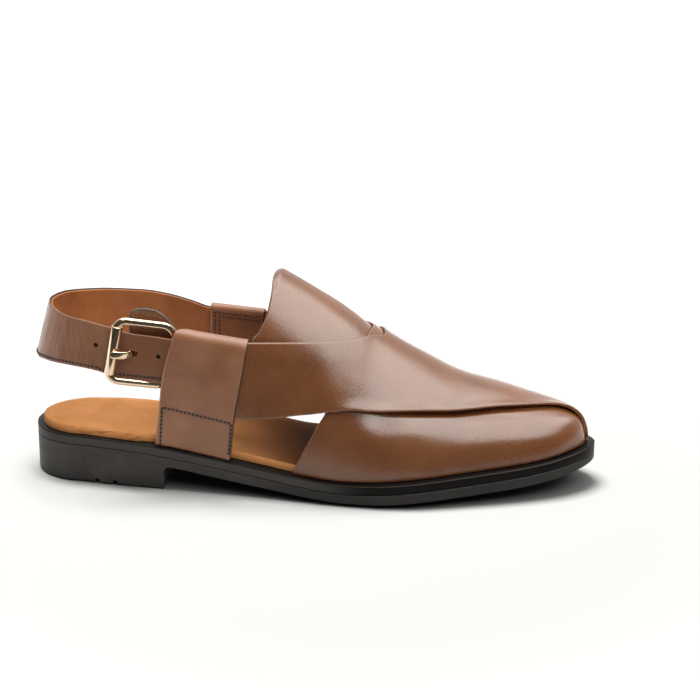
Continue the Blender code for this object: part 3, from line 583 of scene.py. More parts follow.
def rubber(name, low, high, rough=0.42, brown=None, fore=0.5, rear=None):
    """Dyed sole leather and rubber: nearly black, slightly scuffed, and with painted shade darker in front of the
    waist.
    """
    m, t, s, co = start(name)
    cloud = noise(t, co, 60.0, 4.0, 0.6)
    scuff = noise(t, stretched(t, co, (90.0, 90.0, 700.0)), 1.0, 4.0, 0.6)
    base = ramp(t, cloud, [(0.32, low), (0.7, high)])
    base = mix(t, maths(t, "MULTIPLY", remap(t, scuff, 0.55, 0.75), 0.30), base, tuple(1.8 * c for c in high))
    along = node(t, "ShaderNodeSeparateXYZ", {"Vector": co}).outputs["X"]
    # painted shade: darker in front of the waist
    base = mix(t, maths(t, "MULTIPLY", remap(t, along, 0.07, 0.13), fore), base, tuple(0.2 * c for c in low))
    if rear:
        # painted shade by facing: round the heel and the waist the side is greyer, while the upward-facing top stays
        # black
        upward = node(t, "ShaderNodeSeparateXYZ", {"Vector": node(t, "ShaderNodeNewGeometry").outputs["Normal"]}).outputs["Z"]
        base = mix(t, maths(t, "MULTIPLY", remap(t, along, 0.150, 0.110), remap(t, upward, 0.55, 0.20)), base, rear)
    if brown:
        a = attribute(t, "rim")
        base = mix(t, a, base, brown)
    t.links.new(base, s.inputs["Base Color"])
    t.links.new(maths(t, "ADD", maths(t, "MULTIPLY", scuff, 0.16), rough - 0.08), s.inputs["Roughness"])
    t.links.new(bumps(t, [(scuff, 0.00012, 0.7), (noise(t, co, 1500.0, 2.0, 0.6), 0.00005, 0.8)]), s.inputs["Normal"])
    s.inputs["Specular IOR Level"].default_value = 0.19
    return m


def metal(name, colour, rough):
    m, t, s, co = start(name)
    brushed = noise(t, co, 260.0, 3.0, 0.6)
    t.links.new(ramp(t, brushed, [(0.3, tuple(0.94 * c for c in colour)), (0.7, colour)]), s.inputs["Base Color"])
    s.inputs["Metallic"].default_value = 1.0
    t.links.new(maths(t, "ADD", maths(t, "MULTIPLY", brushed, 0.08), rough - 0.04), s.inputs["Roughness"])
    t.links.new(bumps(t, [(noise(t, co, 400.0, 2.0, 0.5), 0.00003, 0.5)]), s.inputs["Normal"])
    return m


def cotton(name, colour):
    m, t, s, co = start(name)
    n = noise(t, co, 2500.0, 2.0, 0.6)
    t.links.new(ramp(t, n, [(0.3, tuple(0.6 * c for c in colour)), (0.7, colour)]), s.inputs["Base Color"])
    s.inputs["Roughness"].default_value = 0.6
    return m


BROWN = leather("leather_brown", (0.103, 0.0347, 0.0107), (0.128, 0.0445, 0.0144), (0.152, 0.055, 0.019), (0.30, 0.155, 0.085), 0.25, 0.50, 0.20, 0.7, 0.35)
# painted shade: from 44 mm ahead of the heel's back, full by 54 mm, the strap and the tab darken in and behind the
# buckle
STRAP_LEATHER = leather("strap_brown", (0.158, 0.061, 0.026), (0.204, 0.083, 0.037), (0.240, 0.100, 0.047), (0.30, 0.13, 0.07), 0.36, 0.16, 0.22, 1.2, 1.2, 0.25,
                        painted_shade_ahead=(0.006, 0.016, (0.130, 0.044, 0.014)))
EAR_BROWN = leather("ear_brown", (0.176, 0.067, 0.029), (0.216, 0.086, 0.038), (0.258, 0.108, 0.051), (0.42, 0.23, 0.13), 0.38, 0.35, 0.28, 1.1, 1.1, 0.6, dark=0.0)
LINING = lining("lining_tan", (0.26, 0.086, 0.024), (0.32, 0.110, 0.032), (0.38, 0.136, 0.043))
INSOLE_MAT = lining("insole_tan", (0.33, 0.140, 0.047), (0.385, 0.169, 0.061), (0.435, 0.200, 0.078), 0.58, (0.20, 0.075, 0.028))
DARK_EDGE = plain_edge("edge_dark", (0.035, 0.022, 0.016), (0.018, 0.012, 0.010))
BROWN_EDGE = plain_edge("edge_brown", (0.16, 0.075, 0.040), (0.07, 0.032, 0.018))
GREY_EDGE = plain_edge("edge_grey", (0.075, 0.070, 0.066), (0.030, 0.027, 0.025))
SUEDE = suede("suede_brown", (0.050, 0.020, 0.012), (0.100, 0.042, 0.026))
SOLE_MAT = rubber("sole_black", (0.033, 0.030, 0.028), (0.050, 0.046, 0.043), 0.46, None, 0.62)
WELT_MAT = rubber("welt_black", (0.004, 0.0033, 0.003), (0.008, 0.007, 0.006), 0.40, (0.036, 0.018, 0.011), 0.5, (0.050, 0.0465, 0.0435))
WELT_MAT.node_tree.nodes["Principled BSDF"].inputs["Specular IOR Level"].default_value = 0.10
BRASS = metal("buckle_brass", (0.83, 0.63, 0.44), 0.10)
BLACK_THREAD = cotton("thread_black", (0.012, 0.010, 0.010))
BROWN_THREAD = cotton("thread_brown", (0.075, 0.024, 0.012))


# ---------------------------------------------------------------- the two crossing panels
NEAR = np.array([0.0, 0.10, 0.28, 0.52, 0.82, 1.15, 1.5, 1.9, 2.4, 3.1, 4.0])


def profile(d, r):
    """1 inside a sheet, falling to 0 at its edge along a quarter circle of radius r."""
    k = 1 - np.clip(d / r, 0, 1)
    return np.sqrt(np.maximum(0.0, 1 - k * k))


def columns(width, count, near=NEAR, ends=(True, True)):
    """Distances across a strip of each width: dense near the two edges, even between."""
    width = np.asarray(width, float)[:, None]
    scale = np.minimum(1.0, width / (2.6 * near[-1]))
    left = near * scale if ends[0] else np.zeros_like(width)
    right = width - near[::-1] * scale if ends[1] else width
    inner = count - left.shape[1] - right.shape[1]
    t = np.linspace(0, 1, inner + 2)[1:-1]
    mid = left[:, -1:] + (right[:, :1] - left[:, -1:]) * t
    return np.concatenate([left, mid, right], 1)


def even_rows(rear_rows, front_rows, along):
    """Rows from one edge to the other, at even steps measured where neighbouring rows lie furthest apart."""
    a, b = edge(rear_rows, 900), edge(front_rows, 900)
    t = np.linspace(0, 1, 25)[None, :, None]
    g = a[:, None, :] * (1 - t) + b[:, None, :] * t
    p = last(station(g[..., 0]), g[..., 1])
    step = np.linalg.norm(np.diff(p, axis=0), axis=2).max(1)
    s = np.concatenate([[0], np.cumsum(step)])
    at = np.interp(np.linspace(0, s[-1], along), s, np.arange(900))
    pick = [np.stack([np.interp(at, np.arange(900), e[:, k]) for k in (0, 1)], -1) for e in (a, b)]
    return pick


def panel_grid(rear_rows, front_rows, along, across):
    a, b = even_rows(rear_rows, front_rows, along)
    t = np.linspace(0, 1, 240)
    g = a[:, None, :] * (1 - t[None, :, None]) + b[:, None, :] * t[None, :, None]
    p = last(station(g[..., 0]), g[..., 1])
    s = arc(p, 1)
    d = columns(s[:, -1], across)
    tt = np.stack([np.interp(d[i], s[i], t) for i in range(along)])
    g = a[:, None, :] * (1 - tt[..., None]) + b[:, None, :] * tt[..., None]
    return station(g[..., 0]), g[..., 1], d, s[:, -1:] - d


def crease_depth(points, creases):
    """Total depth of soft troughs (positive) and ridges (negative). A crease: points (x, v), depth, half width."""
    total = np.zeros(points.shape[:-1])
    flat = points.reshape(-1, 3)
    for line, depth, width in creases:
        q = np.array(line, float)
        k = np.linspace(0, 1, 60)
        s = np.linspace(0, 1, len(q))
        x, v = np.interp(k, s, q[:, 0]), np.interp(k, s, q[:, 1])
        path = skin(x, v, np.full(60, 2.0))
        lo, hi = path.min(0) - 4 * width, path.max(0) + 4 * width
        near = np.all((flat > lo) & (flat < hi), axis=1)
        dist = np.linalg.norm(flat[near][:, None, :] - path[None], axis=2)
        at = dist.argmin(1)
        taper = np.sin(np.pi * np.clip(k[at] * 0.96 + 0.02, 0, 1)) ** 0.6
        add = np.zeros(len(flat))
        add[near] = depth * taper * np.exp(-(dist.min(1) / width) ** 2)
        total += add.reshape(total.shape)
    return total


def panel(name, rear_rows, front_rows, low, high, along, across, creases=(), radius=(1.0, 1.0), swell=None):
    x, v, da, db = panel_grid(rear_rows, front_rows, along, across)
    half = (high - low) / 2
    prof = np.maximum(0.28, profile(da, radius[0]) * profile(db, radius[1]))
    mid = (high + low) / 2
    dent = crease_depth(skin(x, v, np.full(x.shape, high)), creases) if creases else 0.0
    if swell is not None:
        dent = dent - swell(x, v, da, db)
    outer = skin(x, v, mid + half * prof - dent)
    inner = skin(x, v, mid - half * prof - dent)
    pts, faces, kinds = sheet(inner, outer)
    rim = np.minimum(da, db).ravel()
    return make(name, pts, faces, [BROWN, LINING, BROWN_EDGE], kinds, {"rim": np.concatenate([rim, rim])}, replaces=["upper"])


OVER_CREASES = [
    ([(230, 0.40), (240, 0.46), (244, 0.56)], 0.18, 5.0),
    ([(252, 0.42), (259, 0.50), (262, 0.62)], 0.15, 4.0),
]
UNDER_CREASES = [
    ([(206, 0.12), (215, 0.06), (222, 0.02)], 0.16, 4.0),
]


def over_swell(x, v, da, db):
    """The lower edge stands off the panel below it, most toward the toe."""
    flare = 0.5 * smooth(24, 4, db) * smooth(148, 165, x) * smooth(204, 186, x) * (v < 0.5)
    flare = flare + 0.5 * smooth(0.17, 0.31, v) * smooth(122, 150, x) * smooth(196, 168, x) * (v < 0.5)
    return flare + 1.15 * smooth(150, 200, x) * smooth(292.6, 284, x) * np.exp(-(db / 4.0) ** 2)


LINE = np.array(OVER_FRONT, float)


def under_swell(x, v, da, db):
    """Just below the edge of the upper panel the lower one is pulled in."""
    at = np.interp(x, LINE[:, 0], LINE[:, 1])
    below = np.linalg.norm(last(x, v) - last(x, np.minimum(at, 0.5)), axis=-1)
    k = np.where(v < at, np.exp(-(below / 8.5) ** 2), smooth(at + 0.25, at + 0.08, v))
    gap = np.where(v < at, np.exp(-(below / 1.7) ** 2), smooth(at + 0.25, at + 0.08, v)) * smooth(184, 214, x) * (1 - 0.85 * smooth(240, 275, x))
    full = 0.5 * np.exp(-((below - 8.5) / 6.0) ** 2) * (v < at) * smooth(190, 205, x) * smooth(288, 275, x)
    return full - ((0.15 + 0.75 * smooth(202, 186, x)) * k + 1.6 * gap) * smooth(168, 186, x) * smooth(292.8, 287, x)


over = panel("over_panel", OVER_REAR, OVER_FRONT, 1.8, 3.5, 250, 130, OVER_CREASES, (0.9, 0.8), over_swell)
under = panel("under_panel", UNDER_REAR, UNDER_FRONT, 0.0, 1.7, 230, 170, UNDER_CREASES, swell=under_swell)


# ---------------------------------------------------------------- folded ears
def ear_face(x, z, side):
    o = EAR_OFFSET[0] if side < 0 else EAR_OFFSET[1]
    k = np.clip((np.asarray(x, float) - (78.0 if side < 0 else 88.0)) / 38.0, 0.0, 1.0)
    return side_y(x, z, side) + o[0] + (o[1] - o[0]) * k


def ear_depths(side):
    slot = (0.5 + STRAP + 0.4 + PAD + 0.5) if side < 0 else (0.5 + STRAP + 0.5)
    return EAR_SKIN, slot, EAR_INNER


def ear(name, side, steps=150):
    rear_x, front_x = spline(EAR_OUTER if side < 0 else EAR_INNER_SIDE)
    top = EAR_TOP[0 if side < 0 else 1]
    skin_d, slot_d, inner_d = ear_depths(side)
    full = skin_d + slot_d + inner_d
    w = 37.0 if side < 0 else 30.0
    dist = columns([w], 64)[0]
    ts = dist / w
    thick = 1.5
    outer_pts, inner_pts = [], []
    for t, d in zip(ts, dist):
        top_z = top[1] + t * (top[3] - top[1])
        xf = float(rear_x(20)) + t * (float(front_x(20)) - float(rear_x(20)))
        foot = float(welt_top(xf)) + CLEAR
        low = float(ear_face(xf, foot, side) - side_y(xf, foot, side))
        c0, c1 = 0.8, full - 0.8
        rise = 3.4
        # centre line in depth and height: up the outer layer, over the fold, down the turned-in layer
        zo = np.concatenate([np.linspace(foot, 40, 10), np.linspace(44, top_z - rise - 0.8, 14)])
        up = np.stack([np.full(len(zo), c0), zo], 1)
        a = np.linspace(0, np.pi, 26)[1:-1]
        fold = np.stack([(c0 + c1) / 2 - (c1 - c0) / 2 * np.cos(a), top_z - rise - 0.8 + rise * np.sin(a) ** 0.85], 1)
        zi = np.concatenate([np.linspace(top_z - rise - 0.8, EAR_STITCH + 8, 14), np.linspace(EAR_STITCH + 5, foot, 12)])
        together = low - 0.75
        k = smooth(EAR_STITCH + 9.0, EAR_STITCH - 3.0, zi)
        down = np.stack([c1 + (min(together, c1) - c1) * k, zi], 1)
        path = np.concatenate([up, fold, down])
        s = np.concatenate([[0], np.cumsum(np.linalg.norm(np.diff(path, axis=0), axis=1))])
        se = np.linspace(0, s[-1], steps)
        path = np.stack([np.interp(se, s, path[:, 0]), np.interp(se, s, path[:, 1])], 1)
        for _ in range(2):
            path[1:-1] = 0.25 * path[:-2] + 0.5 * path[1:-1] + 0.25 * path[2:]
        tang = np.gradient(path, axis=0)
        tang /= np.linalg.norm(tang, axis=1, keepdims=True)
        out_dir = np.stack([-tang[:, 1], tang[:, 0]], 1)
        prof = max(0.3, float(profile(d, 0.9) * profile(w - d, 0.7)))
        # on the outer side the turned-in layer starts further forward
        inward = smooth(0.2, 0.8, (path[:, 0] - c0) / (c1 - c0)) * (np.arange(steps) > steps * 0.25)
        after = np.maximum.accumulate(inward)
        zc = path[:, 1]
        xr, xt = rear_x(zc), front_x(zc)
        if side < 0:
            xr = xr + np.maximum(0.0, 88.0 - xr) * after
        x = xr + t * (xt - xr)
        wave = 0.12 * noise1(zc / 9.0 + t * 2.0, 5 if side < 0 else 9) * (after < 0.5)
        for grid, sign in ((outer_pts, 1.0), (inner_pts, -1.0)):
            q = path + out_dir * (sign * thick / 2 * prof)
            y = side * (ear_face(x, np.minimum(zc, top_z), side) - q[:, 0] + wave)
            grid.append(np.stack([x, y, q[:, 1]], 1))
    outer_g, inner_g = np.stack(outer_pts), np.stack(inner_pts)
    if side > 0:
        outer_g, inner_g = outer_g[::-1], inner_g[::-1]
    pts, faces, kinds = sheet(inner_g, outer_g)
    rim = np.repeat(np.minimum(dist, w - dist)[:, None], steps, 1)
    if side > 0:
        rim = rim[::-1]
    # the front edge is inked black
    n, m = outer_g.shape[:2]
    front = np.repeat(((w - dist[:-1]) < 0.62)[:, None], m - 1, 1)
    front = (front[::-1] if side > 0 else front).ravel()
    kinds = [2 if i < len(front) and front[i] else k for i, k in enumerate(kinds)]
    return make(name, pts, faces, [EAR_BROWN, LINING, DARK_EDGE], kinds, {"rim": np.concatenate([rim.ravel(), rim.ravel()])},
                replaces=["upper"])


ear_outer = ear("ear_outer", -1)
ear_inner = ear("ear_inner", 1)

# ---------------------------------------------------------------- tongue
edge_rear, edge_front = spline(TONGUE_EDGE)
vs = np.linspace(TONGUE_EDGE[0][0], TONGUE_EDGE[-1][0], 170)
tg = np.linspace(0, 1, 120)
xg = edge_rear(vs)[:, None] * (1 - tg) + edge_front(vs)[:, None] * tg
vg = np.repeat(vs[:, None], 120, 1)
sg = arc(last(xg, vg), 1)
dg = columns(sg[:, -1], 70, ends=(True, False))
tt = np.stack([np.interp(dg[i], sg[i], tg) for i in range(len(vs))])
xg = edge_rear(vs)[:, None] * (1 - tt) + edge_front(vs)[:, None] * tt
vg = np.repeat(vs[:, None], tt.shape[1], 1)
prof = np.maximum(0.3, profile(dg, 0.9))
mid_depth, half_depth = -1.27 - 2.0 * np.exp(-(dg / 1.7) ** 2) * smooth(0.16, 0.05, np.abs(vg - 0.5)), 0.92
tongue_out = skin(xg, vg, mid_depth + half_depth * prof)
tongue_in = skin(xg, vg, mid_depth - half_depth * prof)
pts, faces, kinds = sheet(tongue_in, tongue_out)
make("tongue_leather", pts, faces, [BROWN, LINING, DARK_EDGE], kinds, {"rim": np.concatenate([dg.ravel(), dg.ravel()])},
     replaces=["tongue"])


# ---------------------------------------------------------------- sling strap
def in_ear(rows, side, depth):
    return [(xt, side * float(ear_face(xt, zt, side) - depth), zt, xb, side * float(ear_face(xb, zb, side) - depth), zb)
            for xt, zt, xb, zb in rows]


path = np.array(in_ear(SLING_TIP, -1, EAR_SKIN + 0.5) + SLING + in_ear(SLING_END, 1, EAR_SKIN + 0.5))
s = np.concatenate([[0], np.cumsum(np.linalg.norm(np.diff(path[:, :3] + path[:, 3:], axis=0), axis=1) / 2)])
cols = spline(np.column_stack([s, path]))
s_even = np.linspace(0, s[-1], 420)
rows = np.stack([c(s_even) for c in cols], -1)
width = np.linalg.norm(rows[:, 3:] - rows[:, :3], axis=1)
dz = columns(width, 46)
frac = dz / width[:, None]
face_g = rows[:, None, :3] * (1 - frac[..., None]) + rows[:, None, 3:] * frac[..., None]
along_d = np.gradient(face_g, axis=0)
across_d = (rows[:, 3:] - rows[:, :3])[:, None, :]
into = np.cross(along_d, np.broadcast_to(across_d, along_d.shape))
into /= np.linalg.norm(into, axis=-1, keepdims=True)
into *= np.sign(((np.array([45.0, 0.0, 75.0]) - face_g) * into).sum(-1, keepdims=True))
rim_s = np.minimum(dz, width[:, None] - dz)
S = s_even[:, None] + 0.0 * frac
# wrinkles where the strap bends round the heel, fading toward the buckle
back = smooth(46, 70, S) * smooth(175, 150, S)
wr = noise1((S + 2.2 * frac * 3) / 1.1, 3, 2) * 0.085 + noise1((S - 3.0 * frac) / 2.6, 8, 3) * 0.16
wr = wr * back * (0.35 + 0.65 * np.sin(np.pi * np.clip(frac, 0, 1)) ** 0.5)
belly = 0.10 * np.sin(np.pi * frac)
SKIN_T = 1.3
prof = np.maximum(0.3, profile(rim_s, 0.75))
out_face = face_g + into * (SKIN_T / 2 * (1 - prof) - wr - belly)[..., None]
in_face = face_g + into * (SKIN_T - SKIN_T / 2 * (1 - prof) - 0.0 * wr)[..., None]
# behind the buckle the strap runs a little lower
low = -1.4 * smooth(0.86, 1.0, frac) * smooth(44, 52, face_g[..., 0]) * smooth(104, 96, face_g[..., 0]) * (face_g[..., 1] < 0)
low = low[..., None] * np.array([0.0, 0.0, 1.0])
out_face, in_face = out_face + low, in_face + low
HOLE_AT = [(x, z, rx, rz) for x, z, rx, rz in SLING_HOLES]
if into[200, 20] @ np.cross(face_g[201, 20] - face_g[200, 20], face_g[200, 21] - face_g[200, 20]) > 0:
    FLIP = False
else:
    FLIP = True


def strap_layer(name, inner, outer, mats, kinds_rim):
    if FLIP:
        inner, outer, r = inner[::-1], outer[::-1], kinds_rim[::-1]
    else:
        r = kinds_rim
    pts, faces, kinds = sheet(inner, outer)
    kinds = [min(k, len(mats) - 1) for k in kinds]
    if len(mats) > 1:
        dark = (cut_edge[::-1] if FLIP else cut_edge).ravel()
        kinds = [2 if len(dark) <= i < 2 * len(dark) and dark[i - len(dark)] else k for i, k in enumerate(kinds)]
    ob = make(name, pts, faces, mats, kinds, {"rim": np.concatenate([r.ravel(), r.ravel()])}, replaces=["heel_strap"])
    return ob


cut_edge = dz[:-1, :-1] < 0.7


strap = strap_layer("strap_leather", in_face, out_face, [STRAP_LEATHER, LINING, DARK_EDGE], rim_s)
prof2 = np.maximum(0.35, profile(rim_s, 0.5))
lin_mid = SKIN_T + 0.05 + 0.5
lin_out = face_g + low + into * (lin_mid - 0.5 * prof2)[..., None]
lin_in = face_g + low + into * (lin_mid + 0.5 * prof2)[..., None]
# the lining stands a little proud of the leather at the top edge
proud = (-0.45 * smooth(4.0, 0.0, dz))[..., None] * (rows[:, None, :3] - rows[:, None, 3:]) / width[:, None, None]
strap_lining = strap_layer("strap_lining", lin_in + proud, lin_out + proud, [LINING], rim_s)


def punch(target, x, z, rx, rz, k):
    """A punched hole through a layer of the strap, with a dark cut edge."""
    seg = 24
    a = np.linspace(0, 2 * np.pi, seg, endpoint=False)
    ring = np.stack([np.stack([x + rx * np.cos(a), np.full(seg, y), z + rz * np.sin(a)], 1) for y in (-38.0, -22.0)])
    pts = ring.reshape(-1, 3)
    faces = quads(2, seg, closed=True)
    faces.append(list(range(seg - 1, -1, -1)))
    faces.append([seg + i for i in range(seg)])
    mesh = bpy.data.meshes.new("hole")
    mesh.from_pydata(to_world(pts).tolist(), [], faces)
    bm = bmesh.new()
    bm.from_mesh(mesh)
    bmesh.ops.recalc_face_normals(bm, faces=bm.faces)
    bm.to_mesh(mesh)
    bm.free()
    cutter = bpy.data.objects.new("hole", mesh)
    bpy.context.scene.collection.objects.link(cutter)
    cutter.data.materials.append(DARK_EDGE)
    mod = target.modifiers.new("hole_%d" % k, "BOOLEAN")
    mod.operation, mod.solver, mod.object, mod.material_mode = "DIFFERENCE", "EXACT", cutter, "TRANSFER"
    return cutter


def apply_modifiers(ob):
    deps = bpy.context.evaluated_depsgraph_get()
    mesh = bpy.data.meshes.new_from_object(ob.evaluated_get(deps))
    ob.modifiers.clear()
    ob.data = mesh


for ob in (strap, strap_lining):
    made = [punch(ob, hx, hz, rx, rz, k) for k, (hx, hz, rx, rz) in enumerate(HOLE_AT) if rx > 2 or ob is strap]
    bpy.context.view_layer.update()
    apply_modifiers(ob)
    for c in made:
        bpy.data.objects.remove(c, do_unlink=True)


# painted shade: near-black discs sit a millimetre into the unused small holes, standing in for the shade in them
parts = []
for hx, hz, rx, rz in HOLE_AT:
    near_side = face_g[..., 1] < -20.0
    far = np.where(near_side, (face_g[..., 0] - hx) ** 2 + (face_g[..., 2] - hz) ** 2, 1e9)
    at = np.unravel_index(far.argmin(), far.shape)
    if rx < 2:
        y = face_g[at][1]
        q = np.linspace(0, 2 * np.pi, 20, endpoint=False)
        disc = np.stack([np.stack([hx + 1.45 * np.cos(q), np.full(20, y + dy), hz + 1.45 * np.sin(q)], 1) for dy in (0.95, 1.25)])
        parts.append((disc.reshape(-1, 3), quads(2, 20, closed=True) + [list(range(19, -1, -1)), list(range(20, 40))]))
pts, faces = merge(parts)
make("strap_hole_shade", pts, faces, [DARK_EDGE])


def strap_line(offset, s0, s1, count=400):
    """Points and outward normals on the strap, offset in mm above its bottom edge."""
    ss = np.linspace(s0, s1, count)
    r = np.stack([c(ss) for c in cols], -1)
    wd = np.linalg.norm(r[:, 3:] - r[:, :3], axis=1)
    f = 1 - offset / wd
    p = r[:, :3] * (1 - f[:, None]) + r[:, 3:] * f[:, None]
    tang = np.gradient(p, axis=0)
    n = np.cross(tang, r[:, 3:] - r[:, :3])
    n /= np.linalg.norm(n, axis=1, keepdims=True)
    n *= -np.sign(((np.array([45.0, 0.0, 75.0]) - p) * n).sum(1, keepdims=True))
    return p, n


thread("strap_stitches", [strap_line(1.8, 3.0, s[-1] - 3.0, 700)], 2.15, 1.5, 0.56, BLACK_THREAD, 0.4)

# ---------------------------------------------------------------- tab behind the buckle
tab_rows = list(TAB)
for x in (86.8, 90.0, 94.0, 98.0):
    tab_rows.append((x, 80.2 - 0.12 * (x - 85), 57.2 - 0.12 * (x - 85), 0.0))
tab_fns = spline([(x, zt, zb, y) for x, zt, zb, y in tab_rows[:9]])
xs = np.concatenate([57.5 + np.array([0, 0.05, 0.18, 0.4, 0.7, 1.1, 1.6]), np.linspace(59.6, 98.0, 90)])
zt = np.interp(xs, [r[0] for r in tab_rows], [r[1] for r in tab_rows])
zb = np.interp(xs, [r[0] for r in tab_rows], [r[2] for r in tab_rows])
for _ in range(3):
    zt[2:-2] = (zt[1:-3] + 2 * zt[2:-2] + zt[3:-1]) / 4
    zb[2:-2] = (zb[1:-3] + 2 * zb[2:-2] + zb[3:-1]) / 4
dt = columns(zt - zb, 50)
z = zt[:, None] - dt
deep = EAR_SKIN + 0.5 + STRAP + 0.4
y_in = -(ear_face(xs[:, None] + 0 * z, z, -1) - deep)
y_free = np.broadcast_to(np.interp(xs, [r[0] for r in TAB], [r[3] for r in TAB])[:, None], z.shape)
k = smooth(80.0, 87.0, xs)[:, None]
y = y_free * (1 - k) + y_in * k
tab_face = np.stack([np.broadcast_to(xs[:, None], z.shape), y, z], -1)
dist_t = np.minimum(np.minimum(dt, (zt - zb)[:, None] - dt), (xs - 57.5)[:, None])
prof = np.maximum(0.35, profile(dist_t, 0.6))
shift = np.zeros_like(tab_face)
shift[..., 1] = PAD / 2
tab_out = tab_face + shift - shift * prof[..., None]
tab_in = tab_face + shift + shift * prof[..., None]
pts, faces, kinds = sheet(tab_in, tab_out)
cells_t = (dist_t[:-1, :-1] < 0.75).ravel()
kinds = [2 if i < 2 * len(cells_t) and cells_t[i % len(cells_t)] else k for i, k in enumerate(kinds)]
make("buckle_strap", pts, faces, [STRAP_LEATHER, SUEDE, GREY_EDGE], kinds, {"rim": np.concatenate([dist_t.ravel() + 1, dist_t.ravel() + 1])},
     replaces=["buckle_tab"])

# ---------------------------------------------------------------- buckle
A, B = np.array(BAR_A) + np.array([0.8, 0.0, -0.7]), np.array(BAR_B) + np.array([1.2, 0.0, -0.7])
E1 = (B - A) / np.linalg.norm(B - A)
E2 = np.array([0.149, 0.0, 0.989])
E2 = E2 - (E2 @ E1) * E1
E2 /= np.linalg.norm(E2)
E3 = np.cross(E1, E2)
MID = (A + B) / 2
HALF = float(np.linalg.norm(B - A)) / 2


def rounded(half_a, half_b, r, count=8):
    out = []
    for ca, cb, start_deg in ((1, 1, 0), (-1, 1, 90), (-1, -1, 180), (1, -1, 270)):
        for d in np.linspace(0, 90, count):
            ang = math.radians(start_deg + d)
            out.append((ca * (half_a - r) + r * math.cos(ang), cb * (half_b - r) + r * math.sin(ang)))
    return np.array(out)


ring2 = []
for ca, cb, start_deg, r in ((1, 1, 0, 7.5), (-1, 1, 90, 5.2), (-1, -1, 180, 5.5), (1, -1, 270, 6.0)):
    for q in np.radians(start_deg + np.linspace(0, 90, 14)):
        ring2.append((ca * (HALF - r) + r * math.cos(q), cb * (BUCKLE_HALF - 0.5 - r) + r * math.sin(q)))
ring2 = np.array(ring2)
dense = []
for i in range(len(ring2)):
    p, q = ring2[i], ring2[(i + 1) % len(ring2)]
    n = max(1, int(np.linalg.norm(q - p) / 1.2))
    dense += [p + (q - p) * j / n for j in range(n)]
ring2 = np.array(dense)
nrm2 = np.roll(ring2, -1, 0) - np.roll(ring2, 1, 0)
nrm2 = np.stack([nrm2[:, 1], -nrm2[:, 0]], 1)
nrm2 /= np.linalg.norm(nrm2, axis=1, keepdims=True)
wire_path = MID + ring2[:, :1] * E1 + ring2[:, 1:] * E2
wire_n = nrm2[:, :1] * E1 + nrm2[:, 1:] * E2
section = rounded(1.85, 1.35, 1.25, 9)
pts, faces = tube(wire_path, 1.0, closed=True, frames=(wire_n, np.broadcast_to(E3, wire_n.shape)), profile=section)
make("buckle_wire", pts, faces, [BRASS], sharp=50, replaces=["buckle_frame"])

roll_profile = [(1.75, -ROLL_HALF + 0.2), (2.6, -ROLL_HALF), (2.87, -ROLL_HALF + 0.15), (2.95, -ROLL_HALF + 0.5), (2.95, ROLL_HALF - 0.5),
                (2.87, ROLL_HALF - 0.15), (2.6, ROLL_HALF), (1.75, ROLL_HALF - 0.2)]
seg = 40
ang = np.linspace(0, 2 * np.pi, seg, endpoint=False)
g = np.stack([A + 0.7 * E1 + E2 * h + r * (np.cos(ang)[:, None] * E1 + np.sin(ang)[:, None] * E3) for r, h in roll_profile])
faces = quads(len(roll_profile), seg, closed=True)
m = seg
faces += [[(len(roll_profile) - 1) * m + k, (len(roll_profile) - 1) * m + (k + 1) % m, (k + 1) % m, k] for k in range(m)]
make("buckle_roller_tube", g.reshape(-1, 3), faces, [BRASS], sharp=50, replaces=["buckle_roller"])

prong_line = [(HALF - 2.6, -0.6), (10.0, -1.6), (6.0, -2.7), (2.0, -3.5), (-1.6, -4.2), (-3.0, -3.9), (-5.6, 0.5), (-7.4, 2.3),
              (-9.6, 3.4), (-12.4, 4.15), (-14.6, 4.35), (-16.5, 4.15)]
pl = np.array(prong_line)
sp = np.concatenate([[0], np.cumsum(np.linalg.norm(np.diff(pl, axis=0), axis=1))])
pf = spline(np.column_stack([sp, pl]))
sv = np.linspace(0, sp[-1], 90)
pa, pb = pf[0](sv), pf[1](sv)
for _ in range(4):
    pa[1:-1] = (pa[:-2] + 2 * pa[1:-1] + pa[2:]) / 4
    pb[1:-1] = (pb[:-2] + 2 * pb[1:-1] + pb[2:]) / 4
prong_path = MID - 1.1 * E2 + pa[:, None] * E1 + pb[:, None] * E3
tang = np.gradient(prong_path, axis=0)
tang /= np.linalg.norm(tang, axis=1, keepdims=True)
pn = np.cross(tang, E2)
pn /= np.linalg.norm(pn, axis=1, keepdims=True)
half_w = 1.15 + 0.85 * smooth(-3.0, -9.0, pa)
half_w = half_w * (1 - 0.35 * smooth(-15.4, -16.5, pa))
half_t = np.full(len(pa), 0.85)
base = rounded(1.0, 1.0, 0.55, 5)
prof_p = np.stack([base[None, :, 0] * half_w[:, None], base[None, :, 1] * half_t[:, None]], -1)
pts, faces = tube(prong_path, 1.0, frames=(np.broadcast_to(E2, pn.shape), pn), profile=prof_p)
make("buckle_pin", pts, faces, [BRASS], sharp=50, replaces=["buckle_prong"])

# ---------------------------------------------------------------- insole, wrapped in lining leather
INSET = 3.3
INSOLE_TIP = 288.6


def insole_half(x, side):
    x = np.asarray(x, float)
    heel = sole_half(np.minimum(x, 80.0), side, INSET)
    g = (girth_out if side < 0 else girth_in)(np.minimum(x + 3.0 * smooth(235, 280, x), TIP))
    if side > 0:
        g = g - tuck_f(x)
    return heel + (g - 0.7 - heel) * smooth(57, 68, x)


